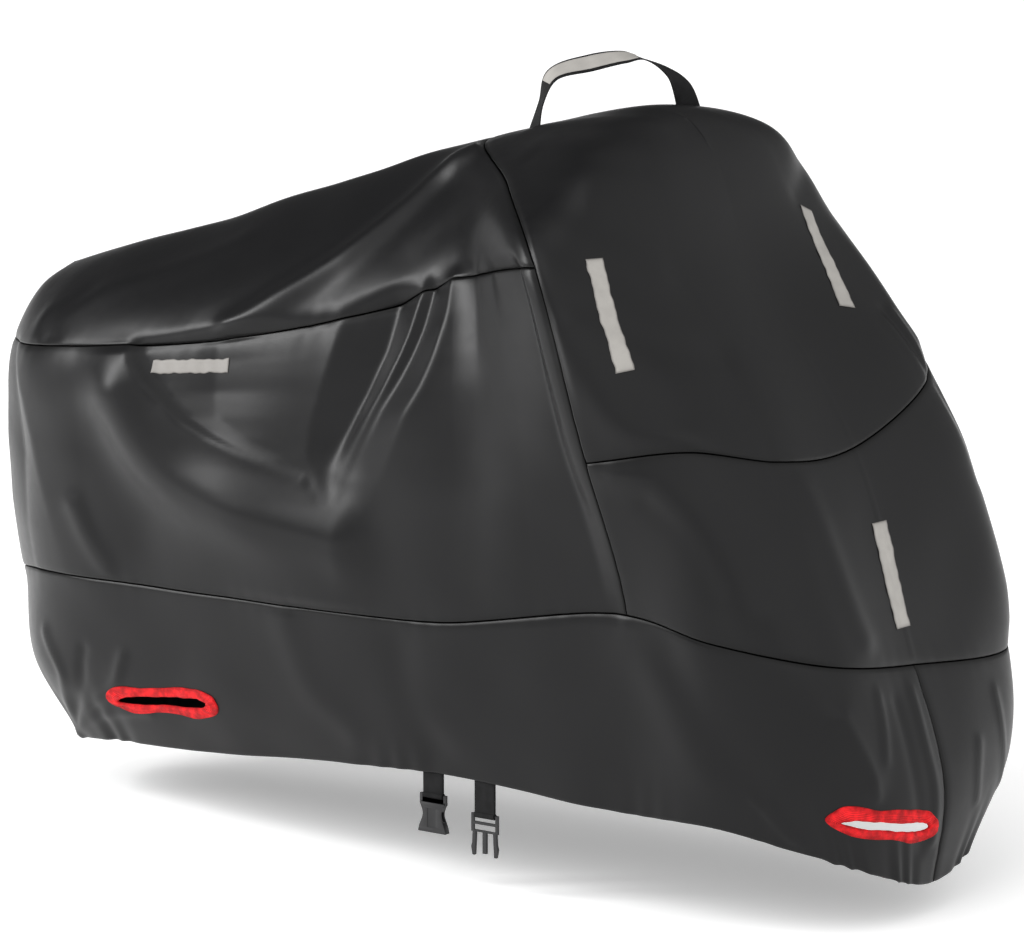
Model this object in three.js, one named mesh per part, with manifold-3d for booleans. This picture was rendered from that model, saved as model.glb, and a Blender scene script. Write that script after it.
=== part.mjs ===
// Scooter cover of coated polyester cloth, as it hangs over what it protects: seven sewn cloth
// pieces, five reflective strips, two bound slots on the right, a webbing handle and an under-belt
// with its two buckle halves. Millimetres, +X to the nose, +Y to the cover's left, +Z up.
import * as THREE from "three";
import { mergeVertices } from "three/addons/utils/BufferGeometryUtils.js";
import Module from "manifold-3d";

const wasm = await Module();
wasm.setup();

// Thicknesses of cloth, tape and webbing, and the gap between neighbouring pieces
const CLOTH = 2;
const TAPE = 1.2;
const WEBBING = 2;
const GAP = 0.3;

// Levels from the hem to the crown, with the cloth's rows between each level and the next
const LEVELS = ["hem", "skirt", "band", "waist", "shoulder", "brim", "crown"];
const ROWS = [3, 3, 5, 6, 4, 4];

// Stations from the tail to the nose, and the cloth's columns up to the next one. At each level,
// how far along, out from the middle and up from the ground; "left" is what the left side adds.
const STATIONS = [
  {
    name: "tail centre", columns: 5,
    hem: [-150, 0, 95], skirt: [-252, 0, 215], band: [-275, 0, 350],
    waist: [-300, 0, 600], shoulder: [-292, 0, 745], brim: [-262, 0, 825], crown: [-205, 0, 865],
  },
  {
    name: "tail corner", columns: 7,
    hem: [-75, 125, 98], skirt: [-137, 184, 222], band: [-125, 205, 385],
    waist: [-150, 210, 600], shoulder: [-140, 205, 757], brim: [-115, 130, 845], crown: [-100, 0, 898],
  },
  {
    name: "rear", columns: 8,
    hem: [185, 205, 120], skirt: [235, 255, 250], band: [270, 270, 400],
    waist: [215, 280, 610], shoulder: [225, 270, 800], brim: [200, 160, 910], crown: [160, 0, 973],
  },
  {
    name: "seat rear", columns: 5,
    hem: [550, 260, 160], skirt: [560, 290, 275], band: [570, 300, 410],
    waist: [540, 300, 620], shoulder: [545, 270, 865], brim: [480, 150, 990], crown: [390, 0, 1048],
  },
  {
    name: "seat front", columns: 8,
    hem: [765, 275, 172], skirt: [765, 302, 290], band: [770, 310, 420],
    waist: [800, 335, 640], shoulder: [760, 255, 938], brim: [665, 140, 1052], crown: [530, 0, 1094],
  },
  {
    name: "hood rear", columns: 5,
    hem: [1085, 285, 163], skirt: [1097, 305, 310], band: [1107, 310, 472],
    waist: [1077, 372, 706], shoulder: [992, 382, 990], brim: [832, 222, 1084], crown: [655, 0, 1125],
    left: { shoulder: [0, 18, 5] },
  },
  {
    name: "hood middle", columns: 6,
    hem: [1260, 280, 162], skirt: [1265, 310, 300], band: [1262, 320, 450],
    waist: [1235, 335, 733], shoulder: [1068, 312, 985], brim: [975, 235, 1120], crown: [830, 0, 1172],
    left: {
      skirt: [0, 10, -20], band: [0, 15, -35], waist: [0, -30, 70], shoulder: [10, 15, 8],
      brim: [10, 35, 15],
    },
  },
  {
    name: "nose corner", columns: 5,
    hem: [1430, 165, 100], skirt: [1425, 220, 240], band: [1400, 235, 420],
    waist: [1305, 200, 708], shoulder: [1108, 170, 985], brim: [1035, 130, 1132], crown: [950, 0, 1188],
    left: {
      hem: [0, 10, 0], skirt: [0, 65, -20], band: [10, 70, -60], waist: [0, 25, 65],
      shoulder: [8, 10, 5], brim: [10, 15, 10],
    },
  },
  {
    name: "nose centre", columns: 0,
    hem: [1460, 0, 52], skirt: [1478, 0, 200], band: [1422, 0, 383],
    waist: [1310, 0, 700], shoulder: [1122, 0, 975], brim: [1060, 0, 1122], crown: [1010, 0, 1175],
  },
];
const HOOD_REAR = 5;
const NOSE = STATIONS.length - 1;
const [HEM, , BAND, WAIST, SHOULDER, , CROWN] = LEVELS.keys();

// Underside of the top on the middle line over the seat, where the cover rests on what it protects
const ORIGIN = new THREE.Vector3(390, 0, 1046);

// Ridges (depth over zero) and hollows (under zero) of the cloth, each along a path of places
// [station, level], with the side that it is on and its half width and depth
const FOLDS = [
  { name: "top ridge", side: "right", width: 42, depth: 15,
    path: [[4.9, 5.6], [3.9, 5.2], [3.45, 4.85], [3, 4.55], [2.35, 4.05]] },
  { name: "pocket lip", side: "right", width: 30, depth: 9,
    path: [[1.75, 3.95], [1.85, 3.65], [2.15, 3.3], [2.65, 3.1], [3, 2.95]] },
  { name: "pocket", side: "right", width: 42, depth: -18, path: [[2, 3.85], [2.2, 3.5], [2.65, 3.25]] },
  { name: "facet", side: "right", width: 32, depth: 10, path: [[2.55, 3.85], [2.7, 3.5], [2.8, 3.15]] },
  { name: "first channel", side: "right", width: 32, depth: -12, path: [[3.1, 3.85], [2.9, 3.1]] },
  { name: "narrow ridge", side: "right", width: 26, depth: 9,
    path: [[3.5, 3.95], [3.35, 3.7], [3.05, 3.05]] },
  { name: "second channel", side: "right", width: 26, depth: -10,
    path: [[3.65, 3.85], [3.45, 3.45], [3.2, 3]] },
  { name: "broad ridge", side: "right", width: 40, depth: 17,
    path: [[3.95, 3.95], [3.7, 3.65], [3.5, 3.35], [3.25, 2.95]] },
  { name: "swell", side: "right", width: 62, depth: 12, path: [[2.3, 2.75], [2.8, 2.8], [3.25, 2.85]] },
  { name: "seam ridge", side: "right", width: 26, depth: 7, path: [[4.8, 3.95], [4.85, 3], [4.9, 2.65]] },
  { name: "slack by the hood", side: "right", width: 75, depth: -14, path: [[4.3, 2.75], [4.7, 2.35]] },
  { name: "tail ridge", side: "right", width: 28, depth: 11, path: [[0.8, 3.85], [1.15, 3.1], [1.2, 2.05]] },
  { name: "tail channel", side: "right", width: 26, depth: -11,
    path: [[0.85, 3.45], [1, 2.9], [0.85, 2.55]] },
  { name: "second tail ridge", side: "right", width: 28, depth: 8, path: [[1.4, 2.55], [1.5, 2.05]] },
  { name: "front ridge", side: "right", width: 38, depth: 11, path: [[5.3, 2.95], [5.75, 2.7], [6.4, 2.25]] },
  { name: "hood ridge", side: "right", width: 34, depth: 9, path: [[5.2, 3.5], [5.45, 3.2], [6, 3]] },
  { name: "skirt ridge", side: "right", width: 28, depth: 6, path: [[7.1, 1.6], [7.3, 1.2]] },
  { name: "left top ridge", side: "left", width: 42, depth: 13, path: [[4.7, 5.5], [3.6, 4.9], [2.6, 4.2]] },
  { name: "left pocket", side: "left", width: 45, depth: -15, path: [[2.2, 3.8], [2.5, 3.4], [2.9, 3.2]] },
  { name: "left swell", side: "left", width: 60, depth: 12, path: [[2.1, 3.1], [2.7, 2.85], [3.3, 2.7]] },
  { name: "left broad ridge", side: "left", width: 38, depth: 15,
    path: [[4.1, 3.9], [3.8, 3.5], [3.4, 2.9]] },
  { name: "left channel", side: "left", width: 30, depth: -11, path: [[3.5, 3.85], [3.2, 3.1]] },
  { name: "left tail ridge", side: "left", width: 28, depth: 10, path: [[1, 3.8], [1.25, 3], [1.3, 2.1]] },
  { name: "left slack", side: "left", width: 70, depth: -12, path: [[4.5, 2.8], [4.6, 2.3]] },
  { name: "left nose swell", side: "left", width: 90, depth: 14, path: [[6.85, 2.68], [6.97, 2.28]] },
  { name: "left front ridge", side: "left", width: 36, depth: 9, path: [[5.4, 2.9], [6.1, 2.4]] },
];

// Pleats where the hem is drawn in by its elastic: their stations, number, depth and reach upwards
const PLEATS = [
  { side: "right", stations: [0.2, 1.7], count: 5, depth: 5, reach: 1.2 },
  { side: "left", stations: [0.2, 1.7], count: 5, depth: 5, reach: 1.2 },
  { side: "right", stations: [6.3, 7.8], count: 5, depth: 4, reach: 0.8 },
  { side: "left", stations: [6.3, 7.8], count: 4, depth: 4, reach: 0.8 },
];

// Reflective strips: the place of each one's middle, its size, its turn from level and its bend
const STRIPS = [
  { name: "side_strip_right", side: "right", at: [2.11, 3.77], length: 158, width: 22, turn: 6, bend: 0 },
  { name: "side_strip_left", side: "left", at: [2.11, 3.77], length: 158, width: 22, turn: -6, bend: 0 },
  { name: "hood_strip_right", side: "right", at: [5.82, 3.73], length: 180, width: 27, turn: 96, bend: 4 },
  { name: "hood_strip_left", side: "left", at: [6.93, 3.83], length: 180, width: 27, turn: 70, bend: -4 },
  { name: "front_strip", side: "right", at: [7.98, 2.43], length: 162, width: 36, turn: 90, bend: 3 },
];

// Bound slots near the right hem: the place of each one's middle, its turn, and the length of the red
// binding and its reach above and below the middle line, then the same three of the mouth
const SLOTS = [
  {
    name: "rear", at: [1.84, 0.68], turn: 6,
    binding: { length: 264, above: 26, below: 27 }, mouth: { length: 214, above: 10, below: 8 },
  },
  {
    name: "front", at: [7.4, 0.62], turn: -7,
    binding: { length: 218, above: 27, below: 24 }, mouth: { length: 176, above: 10, below: 8 },
  },
];
const BINDING_PROUD = 1.6;
const LENS_POINTS = 18;
const CUT_DEPTH = 60;

// Carrying handle across the crown: its feet, and along it the share of the way, the height, and
// how far the strap is rolled over, from flat to standing on its edge
const HANDLE = {
  width: 38,
  feet: [[750, -34], [930, 132]],
  path: [
    { share: 0, up: -14, roll: 20 }, { share: 0.05, up: 36, roll: 2 }, { share: 0.12, up: 76, roll: 24 },
    { share: 0.36, up: 87, roll: 38 }, { share: 0.58, up: 89, roll: 24 }, { share: 0.7, up: 82, roll: -2 },
    { share: 0.86, up: 56, roll: 20 }, { share: 0.95, up: 26, roll: 62 }, { share: 1, up: -14, roll: 88 },
  ],
  tape: { width: 28, from: 0.21, to: 0.58 },
};
const HANDLE_STEPS = 24;
const FOOT_DEPTH = 40;

// The two belt ends that hang inside the right hem, each with half of a side-release buckle:
// the drop from the hem to the bar that the strap's eye holds
const BELTS = [
  { name: "socket", station: 3.82, drop: 36 },
  { name: "plug", station: 4.2, drop: 52 },
];
const BELT_WIDTH = 38;
const STRAP_RISE = 28;
const EYE_STEPS = 10;
const BUCKLE = { width: 50, thick: 4, rim: 5, bar: 4, slot: 9, foot: 3 };
const SOCKET = { length: 44, inset: 2, waist: 34, flare: 52, thick: 11, mouth: 40, deep: 34, hollow: 6 };
const PLUG = { length: 37, root: 2, lean: 2, prong: 8, guide: 7, shorter: 4, thick: 5 };

const material = (name, color, roughness, metalness = 0) =>
  new THREE.MeshStandardMaterial({ name, color, roughness, metalness });
const MATERIALS = {
  cloth: material("coated polyester cloth", 0x343436, 0.5),
  reflective: material("reflective tape", 0xb4b2ae, 0.35),
  red: material("red ribbed webbing", 0xd8242a, 0.7),
  webbing: material("black webbing", 0x1b1b1c, 0.8),
  plastic: material("black acetal", 0x161616, 0.4),
};

const columnsBefore = (station) =>
  STATIONS.slice(0, station).reduce((sum, row) => sum + row.columns, 0);
const rowsBefore = (level) => ROWS.slice(0, level).reduce((sum, rows) => sum + rows, 0);
const COLUMNS = columnsBefore(NOSE);
const TOP_ROW = rowsBefore(CROWN);

// The place of a column or row on its scale of stations or levels
function onScale(index, counts) {
  let before = 0;
  for (let step = 0; step < counts.length; step += 1) {
    if (index <= before + counts[step]) return step + (index - before) / counts[step];
    before += counts[step];
  }
  return counts.length;
}
const stationOf = (column) => onScale(column, STATIONS.slice(0, NOSE).map((row) => row.columns));
const levelOf = (row) => onScale(row, ROWS);

// A station's point at a level, on one side
function stationPoint(station, level, side) {
  const row = STATIONS[station];
  const [x, out, z] = row[level];
  const [dx, dOut, dz] = (side === "left" && row.left && row.left[level]) || [0, 0, 0];
  const sign = side === "left" ? 1 : -1;
  return new THREE.Vector3(x + dx, sign * (out + dOut), z + dz);
}

// The smooth line of one level: a closed ring, or for the crown an open line on the middle
function levelLine(level) {
  const stations = STATIONS.map((_, index) => index);
  const right = stations.map((index) => stationPoint(index, level, "right"));
  if (level === "crown") {
    const line = new THREE.CatmullRomCurve3(right, false, "centripetal");
    return (station) => line.getPoint(station / NOSE);
  }
  const left = stations.slice(1, NOSE).reverse().map((index) => stationPoint(index, level, "left"));
  const ring = new THREE.CatmullRomCurve3([...right, ...left], true, "centripetal");
  return (station, side) => {
    const along = side === "left" ? 2 * NOSE - station : station;
    return ring.getPoint((along / (2 * NOSE)) % 1);
  };
}

// The smooth line of one column, up one side, over the crown and down the other
function columnLine(column, lines) {
  const station = stationOf(column);
  const rising = LEVELS.map((level) => lines[level](station, "right"));
  const falling = LEVELS.slice(0, -1).reverse().map((level) => lines[level](station, "left"));
  if (column === 0) falling.splice(0, falling.length, lines.crown(1));
  if (column === COLUMNS) falling.splice(0, falling.length, lines.crown(NOSE - 1));
  const curve = new THREE.CatmullRomCurve3([...rising, ...falling], false, "centripetal");
  const spans = rising.length + falling.length - 1;
  return (level, side) => {
    const mirrored = side === "left" && column > 0 && column < COLUMNS;
    return curve.getPoint((mirrored ? 2 * CROWN - level : level) / spans);
  };
}

// One shared set of points for the whole cloth: the two sides meet at the crown, tail and nose
const key = (side, column, row) => {
  const middle = row === TOP_ROW || column === 0 || column === COLUMNS;
  return `${middle ? "middle" : side} ${column} ${row}`;
};
function clothPoints() {
  const lines = Object.fromEntries(LEVELS.map((level) => [level, levelLine(level)]));
  const points = new Map();
  for (let column = 0; column <= COLUMNS; column += 1) {
    const line = columnLine(column, lines);
    for (const side of ["right", "left"]) {
      for (let row = 0; row <= TOP_ROW; row += 1) {
        points.set(key(side, column, row), line(levelOf(row), side));
      }
    }
  }
  return points;
}

// The cloth's cells in a range of stations and levels, each with its corners facing outwards
function cells(side, [fromStation, toStation], [fromLevel, toLevel]) {
  const list = [];
  for (let c = columnsBefore(fromStation); c < columnsBefore(toStation); c += 1) {
    for (let r = rowsBefore(fromLevel); r < rowsBefore(toLevel); r += 1) {
      const ring = [key(side, c, r), key(side, c + 1, r), key(side, c + 1, r + 1), key(side, c, r + 1)];
      list.push(side === "left" ? ring.reverse() : ring);
    }
  }
  return list;
}
const bothSides = (stations, levels) => [
  ...cells("right", stations, levels),
  ...cells("left", stations, levels),
];

// Outward unit normal of every point, from the cells that share it
function pointNormals(points, list) {
  const normals = new Map([...points.keys()].map((id) => [id, new THREE.Vector3()]));
  for (const ring of list) {
    const [a, b, c, d] = ring.map((id) => points.get(id));
    const across = new THREE.Vector3().subVectors(c, a).cross(new THREE.Vector3().subVectors(d, b));
    ring.forEach((id) => normals.get(id).add(across));
  }
  normals.forEach((normal) => normal.normalize());
  return normals;
}

const ALL_CELLS = bothSides([0, NOSE], [HEM, CROWN]);
const base = clothPoints();
const baseNormals = pointNormals(base, ALL_CELLS);

// The exact column and row of a place [station, level]
function gridPlace([station, level]) {
  const [wholeStation, wholeLevel] = [Math.floor(station), Math.floor(level)];
  return [
    columnsBefore(wholeStation) + (station - wholeStation) * STATIONS[wholeStation].columns,
    rowsBefore(wholeLevel) + (level - wholeLevel) * (ROWS[wholeLevel] || 0),
  ];
}

// The mean of the four grid vectors round a place on one side
function between(vectors, side, place) {
  const [column, row] = gridPlace(place);
  const c = Math.min(Math.floor(column), COLUMNS - 1);
  const r = Math.min(Math.floor(row), TOP_ROW - 1);
  const mix = (level) =>
    vectors.get(key(side, c, level)).clone().lerp(vectors.get(key(side, c + 1, level)), column - c);
  return mix(r).lerp(mix(r + 1), row - r);
}

// How far a point lies from a path of points
function distanceTo(path, point) {
  const nearest = new THREE.Vector3();
  return Math.min(
    ...path.slice(1).map((end, index) => {
      new THREE.Line3(path[index], end).closestPointToPoint(point, true, nearest);
      return nearest.distanceTo(point);
    }),
  );
}

// How far the pleats push a place outwards, most at the hem
function pleatDepth(side, station, level) {
  return PLEATS.filter((pleats) => pleats.side === side).reduce((sum, pleats) => {
    const [from, to] = pleats.stations;
    const share = (station - from) / (to - from);
    if (share <= 0 || share >= 1 || level >= pleats.reach) return sum;
    const rise = (1 - level / pleats.reach) * Math.sin(Math.PI * share);
    return sum + pleats.depth * rise * Math.sin(2 * Math.PI * pleats.count * share);
  }, 0);
}

// The cloth with its folds and pleats: each point moves along its normal
function foldedPoints() {
  const folded = new Map([...base].map(([id, point]) => [id, point.clone()]));
  const push = (id, depth) => folded.get(id).addScaledVector(baseNormals.get(id), depth);
  for (const fold of FOLDS) {
    const path = fold.path.map((place) => between(base, fold.side, place));
    for (const [id, point] of base) {
      const share = distanceTo(path, point) / fold.width;
      if (share < 2) push(id, fold.depth * Math.exp(-share * share));
    }
  }
  for (const side of ["right", "left"]) {
    for (let column = 1; column < COLUMNS; column += 1) {
      for (let row = 0; row < TOP_ROW; row += 1) {
        push(key(side, column, row), pleatDepth(side, stationOf(column), levelOf(row)));
      }
    }
  }
  return folded;
}
const cloth = foldedPoints();
const clothNormals = pointNormals(cloth, ALL_CELLS);

// The edges that only one of the cells has, each from its first point to its next
function openEdges(list) {
  const edges = new Map();
  for (const ring of list) {
    ring.forEach((id, index) => {
      const next = ring[(index + 1) % ring.length];
      if (!edges.delete(`${next}>${id}`)) edges.set(`${id}>${next}`, [id, next]);
    });
  }
  return [...edges.values()];
}

// Which way each point of the open edges steps back into its piece
function stepsBack(edges) {
  const steps = new Map();
  for (const [from, to] of edges) {
    const along = new THREE.Vector3().subVectors(cloth.get(to), cloth.get(from)).normalize();
    for (const id of [from, to]) {
      const inward = new THREE.Vector3().crossVectors(clothNormals.get(id), along);
      steps.set(id, inward.add(steps.get(id) || new THREE.Vector3()).normalize());
    }
  }
  return steps;
}

function meshGeometry(positions, faces) {
  const geometry = new THREE.BufferGeometry();
  geometry.setAttribute("position", new THREE.Float32BufferAttribute(positions, 3));
  geometry.setIndex(faces);
  return geometry;
}

// A closed sheet over the cells, between two offsets from the cloth's outer face. Its open edges
// stay back by half a gap from the neighbouring piece.
function sheet(list, { inner = -CLOTH, outer = 0, setBack = GAP / 2 } = {}) {
  const edges = openEdges(list);
  const steps = stepsBack(edges);
  const indexOf = new Map();
  const positions = [];
  const vertex = (id, offset) => {
    const name = `${id} ${offset}`;
    if (!indexOf.has(name)) {
      const point = cloth.get(id).clone().addScaledVector(clothNormals.get(id), offset);
      if (steps.has(id)) point.addScaledVector(steps.get(id), setBack);
      indexOf.set(name, positions.length / 3);
      positions.push(...point);
    }
    return indexOf.get(name);
  };
  const faces = [];
  for (const ring of list) {
    const [a, b, c, d] = ring.map((id) => vertex(id, outer));
    faces.push(a, b, c, a, c, d);
    const [e, f, g, h] = ring.map((id) => vertex(id, inner));
    faces.push(e, g, f, e, h, g);
  }
  for (const [from, to] of edges) {
    const [a, b, c, d] = [vertex(from, outer), vertex(from, inner), vertex(to, inner), vertex(to, outer)];
    faces.push(a, b, c, a, c, d);
  }
  return meshGeometry(positions, faces);
}

// Conversion between a closed geometry and a solid that can be joined and cut
function solidOf(geometry) {
  const bare = geometry.clone();
  bare.deleteAttribute("normal");
  bare.deleteAttribute("uv");
  const merged = mergeVertices(bare, 1e-4);
  return new wasm.Manifold(
    new wasm.Mesh({
      numProp: 3,
      vertProperties: merged.attributes.position.array,
      triVerts: new Uint32Array(merged.index.array),
    }),
  );
}
function geometryOf(solid) {
  const { vertProperties, triVerts } = solid.getMesh();
  return meshGeometry([...vertProperties], [...triVerts]);
}

// The frame at a place of the cloth: X level along it, Y up along it and Z outwards
function frameAt(side, place, turn = 0) {
  const outward = between(clothNormals, side, place).normalize();
  const up = new THREE.Vector3(0, 0, 1).addScaledVector(outward, -outward.z).normalize();
  const along = new THREE.Vector3().crossVectors(up, outward);
  return new THREE.Matrix4()
    .makeBasis(along, up, outward)
    .setPosition(between(cloth, side, place))
    .multiply(new THREE.Matrix4().makeRotationZ(THREE.MathUtils.degToRad(turn)));
}

// A straight cutter with a flat outline, as deep as given on both sides of a frame's plane
function cutter(shape, frame, depth) {
  const geometry = new THREE.ExtrudeGeometry(shape, { depth: 2 * depth, bevelEnabled: false });
  geometry.translate(0, 0, -depth);
  return solidOf(geometry.applyMatrix4(frame));
}

// A strip's outline, bent at its middle
function bentStrip({ length, width, bend }) {
  const line = [[-length / 2, 0], [0, bend], [length / 2, 0]];
  const lower = line.map(([x, y]) => new THREE.Vector2(x, y - width / 2));
  const upper = line.map(([x, y]) => new THREE.Vector2(x, y + width / 2)).reverse();
  return new THREE.Shape([...lower, ...upper]);
}

// A slot's lens outline, full above and slack below, with its sizes grown by a margin
function lens({ length, above, below }, margin = 0) {
  const half = length / 2 + margin;
  const [top, bottom] = [above + margin, -below - margin];
  const points = [
    [-half, 0], [-0.8 * half, 0.85 * top], [-0.3 * half, top], [0.4 * half, top],
    [0.85 * half, 0.8 * top], [half, 0.1 * top], [0.92 * half, 0.7 * bottom],
    [0.6 * half, bottom], [0, 0.75 * bottom], [-0.6 * half, 0.6 * bottom], [-half, 0],
  ].map(([x, y]) => new THREE.Vector2(x, y));
  return new THREE.SplineCurve(points.reverse()).getPoints(LENS_POINTS).slice(1);
}

// A closed ribbon along centres, each with its width direction and outward direction
function ribbon(steps, width, inner, outer) {
  const positions = [];
  for (const { centre, across, outward } of steps) {
    for (const [side, offset] of [[-1, inner], [1, inner], [1, outer], [-1, outer]]) {
      positions.push(
        ...centre.clone().addScaledVector(across, (side * width) / 2).addScaledVector(outward, offset),
      );
    }
  }
  const faces = [0, 1, 2, 0, 2, 3];
  for (let ring = 4; ring < 4 * steps.length; ring += 4) {
    for (let corner = 0; corner < 4; corner += 1) {
      const next = (corner + 1) % 4;
      const [a, b] = [ring - 4 + corner, ring - 4 + next];
      const [c, d] = [ring + next, ring + corner];
      faces.push(a, c, b, a, d, c);
    }
  }
  const last = 4 * (steps.length - 1);
  faces.push(last, last + 2, last + 1, last, last + 3, last + 2);
  return meshGeometry(positions, faces);
}

const cover = new THREE.Group();
cover.name = "scooter_cover";
cover.position.copy(ORIGIN).negate();

function add(name, geometry, finish) {
  geometry.computeVertexNormals();
  const mesh = new THREE.Mesh(geometry, finish);
  mesh.name = name;
  cover.add(mesh);
}

// Sewn cloth pieces: top, sides, hood and lower front
const hoodCells = bothSides([HOOD_REAR, NOSE], [WAIST, CROWN]);
const frontCells = bothSides([HOOD_REAR, NOSE], [BAND, WAIST]);
const sideCells = (side) => cells(side, [0, HOOD_REAR], [BAND, SHOULDER]);
const skirtCells = (side) => cells(side, [0, NOSE], [HEM, BAND]);
add("top_panel", sheet(bothSides([0, HOOD_REAR], [SHOULDER, CROWN])), MATERIALS.cloth);
add("side_panel_right", sheet(sideCells("right")), MATERIALS.cloth);
add("side_panel_left", sheet(sideCells("left")), MATERIALS.cloth);
add("hood", sheet(hoodCells), MATERIALS.cloth);
add("front_panel", sheet(frontCells), MATERIALS.cloth);

// Skirts, the right one cut for the bindings of its slots
let rightSkirt = solidOf(sheet(skirtCells("right")));
const bindingLayer = solidOf(
  sheet(skirtCells("right"), { inner: -CLOTH - BINDING_PROUD, outer: BINDING_PROUD }),
);
for (const slot of SLOTS) {
  const frame = frameAt("right", slot.at, slot.turn);
  const binding = new THREE.Shape(lens(slot.binding));
  binding.holes.push(new THREE.Path(lens(slot.mouth)));
  rightSkirt = rightSkirt.subtract(cutter(new THREE.Shape(lens(slot.binding, GAP)), frame, CUT_DEPTH));
  const ring = bindingLayer.intersect(cutter(binding, frame, CUT_DEPTH));
  add(`${slot.name}_slot_binding`, geometryOf(ring), MATERIALS.red);
}
add("skirt_right", geometryOf(rightSkirt), MATERIALS.cloth);
add("skirt_left", sheet(skirtCells("left")), MATERIALS.cloth);

// Reflective strips, which follow the cloth that they are sewn to
const stripGround = { side_strip: sideCells, hood_strip: () => hoodCells, front_strip: () => frontCells };
for (const strip of STRIPS) {
  const ground = stripGround[strip.name.replace(/_(right|left)$/, "")](strip.side);
  const layer = solidOf(sheet(ground, { inner: GAP, outer: GAP + TAPE, setBack: 0 }));
  const outline = cutter(bentStrip(strip), frameAt(strip.side, strip.at, strip.turn), CUT_DEPTH);
  add(strip.name, geometryOf(layer.intersect(outline)), MATERIALS.reflective);
}

// Carrying handle: a webbing arch whose feet end on the hood, with a reflective tape along it
function handleSteps(from, to) {
  const [start, end] = HANDLE.feet.map(([x, y]) => hoodTop(x, y));
  const line = new THREE.CatmullRomCurve3(
    HANDLE.path.map(({ share, up }) =>
      start.clone().lerp(end, share).add(new THREE.Vector3(0, 0, up)),
    ),
    false,
    "centripetal",
  );
  const rolls = new THREE.SplineCurve(
    HANDLE.path.map(({ roll }, index) => new THREE.Vector2(index, roll)),
  );
  const flat = new THREE.Vector3(end.y - start.y, start.x - end.x, 0).normalize();
  return Array.from({ length: HANDLE_STEPS + 1 }, (_, index) => {
    const share = from + ((to - from) * index) / HANDLE_STEPS;
    const tangent = line.getTangent(share);
    const roll = THREE.MathUtils.degToRad(rolls.getPoint(share).y);
    const standing = new THREE.Vector3().crossVectors(tangent, flat).normalize();
    const across = standing.multiplyScalar(Math.sin(roll)).addScaledVector(flat, Math.cos(roll));
    const outward = new THREE.Vector3().crossVectors(across, tangent).normalize();
    return { centre: line.getPoint(share), across, outward };
  });
}

// The highest point of the hood's outer face near a place in plan
function hoodTop(x, y) {
  const points = [...new Set(hoodCells.flat())].map((id) => cloth.get(id));
  const distance = (point) => Math.hypot(point.x - x, point.y - y) + (point.z < 1000 ? 1000 : 0);
  const [nearest] = points.sort((a, b) => distance(a) - distance(b));
  return new THREE.Vector3(x, y, nearest.z);
}
const hoodRoom = solidOf(sheet(hoodCells, { inner: -FOOT_DEPTH, outer: GAP, setBack: 0 }));
const handleRibbon = (outer) => solidOf(ribbon(handleSteps(0, 1), HANDLE.width, -WEBBING / 2, outer));
add("handle", geometryOf(handleRibbon(WEBBING / 2).subtract(hoodRoom)), MATERIALS.webbing);
const { tape } = HANDLE;
const tapeSteps = handleSteps(tape.from, tape.to);
const tapeRibbon = solidOf(ribbon(tapeSteps, tape.width, WEBBING / 2, WEBBING / 2 + GAP + TAPE));
const tapeSolid = tapeRibbon.subtract(handleRibbon(WEBBING / 2 + GAP));
add("handle_strip", geometryOf(tapeSolid), MATERIALS.reflective);

const corners = (places) => places.map(([across, up]) => new THREE.Vector2(across, up));
const rectangle = (x, y, width, height) =>
  corners([[x, y], [x + width, y], [x + width, y + height], [x, y + height]]);

// A flat piece with a centred thickness, whose outline stands in X and Z
function plate(outline, holes, thick) {
  const shape = new THREE.Shape(outline);
  shape.holes = holes.map((hole) => new THREE.Path(hole));
  const geometry = new THREE.ExtrudeGeometry(shape, { depth: thick, bevelEnabled: false });
  return solidOf(geometry.translate(0, 0, -thick / 2).rotateX(Math.PI / 2));
}

// A strap end in section: two layers from inside the hem down, opened into an eye round the bar
function strapSection(drop) {
  const eye = Math.hypot(BUCKLE.bar, BUCKLE.thick) / 2 + GAP;
  const outer = eye + WEBBING;
  const half = WEBBING + GAP / 2;
  const neck = Math.asin(half / outer);
  const arc = (radius, from, to) =>
    new THREE.EllipseCurve(0, -drop, radius, radius, from, to).getPoints(EYE_STEPS);
  const shape = new THREE.Shape([
    new THREE.Vector2(half, STRAP_RISE),
    new THREE.Vector2(-half, STRAP_RISE),
    ...arc(outer, Math.PI / 2 + neck, Math.PI / 2 - neck + 2 * Math.PI),
  ]);
  shape.holes = [new THREE.Path(arc(eye, 0, 2 * Math.PI).slice(1))];
  return shape;
}

// A frame of bars from the one that a strap's eye holds, at the origin, down to its foot
function buckleFrame(slots) {
  const { width, thick, rim, bar, slot, foot } = BUCKLE;
  const bottom = -bar / 2 - slots * slot - (slots - 1) * bar - foot;
  const windows = Array.from({ length: slots }, (_, index) =>
    rectangle(rim - width / 2, -bar / 2 - slot - index * (bar + slot), width - 2 * rim, slot),
  );
  const outline = rectangle(-width / 2, bottom, width, bar / 2 - bottom);
  return { frame: plate(outline, windows, thick), bottom };
}

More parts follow.
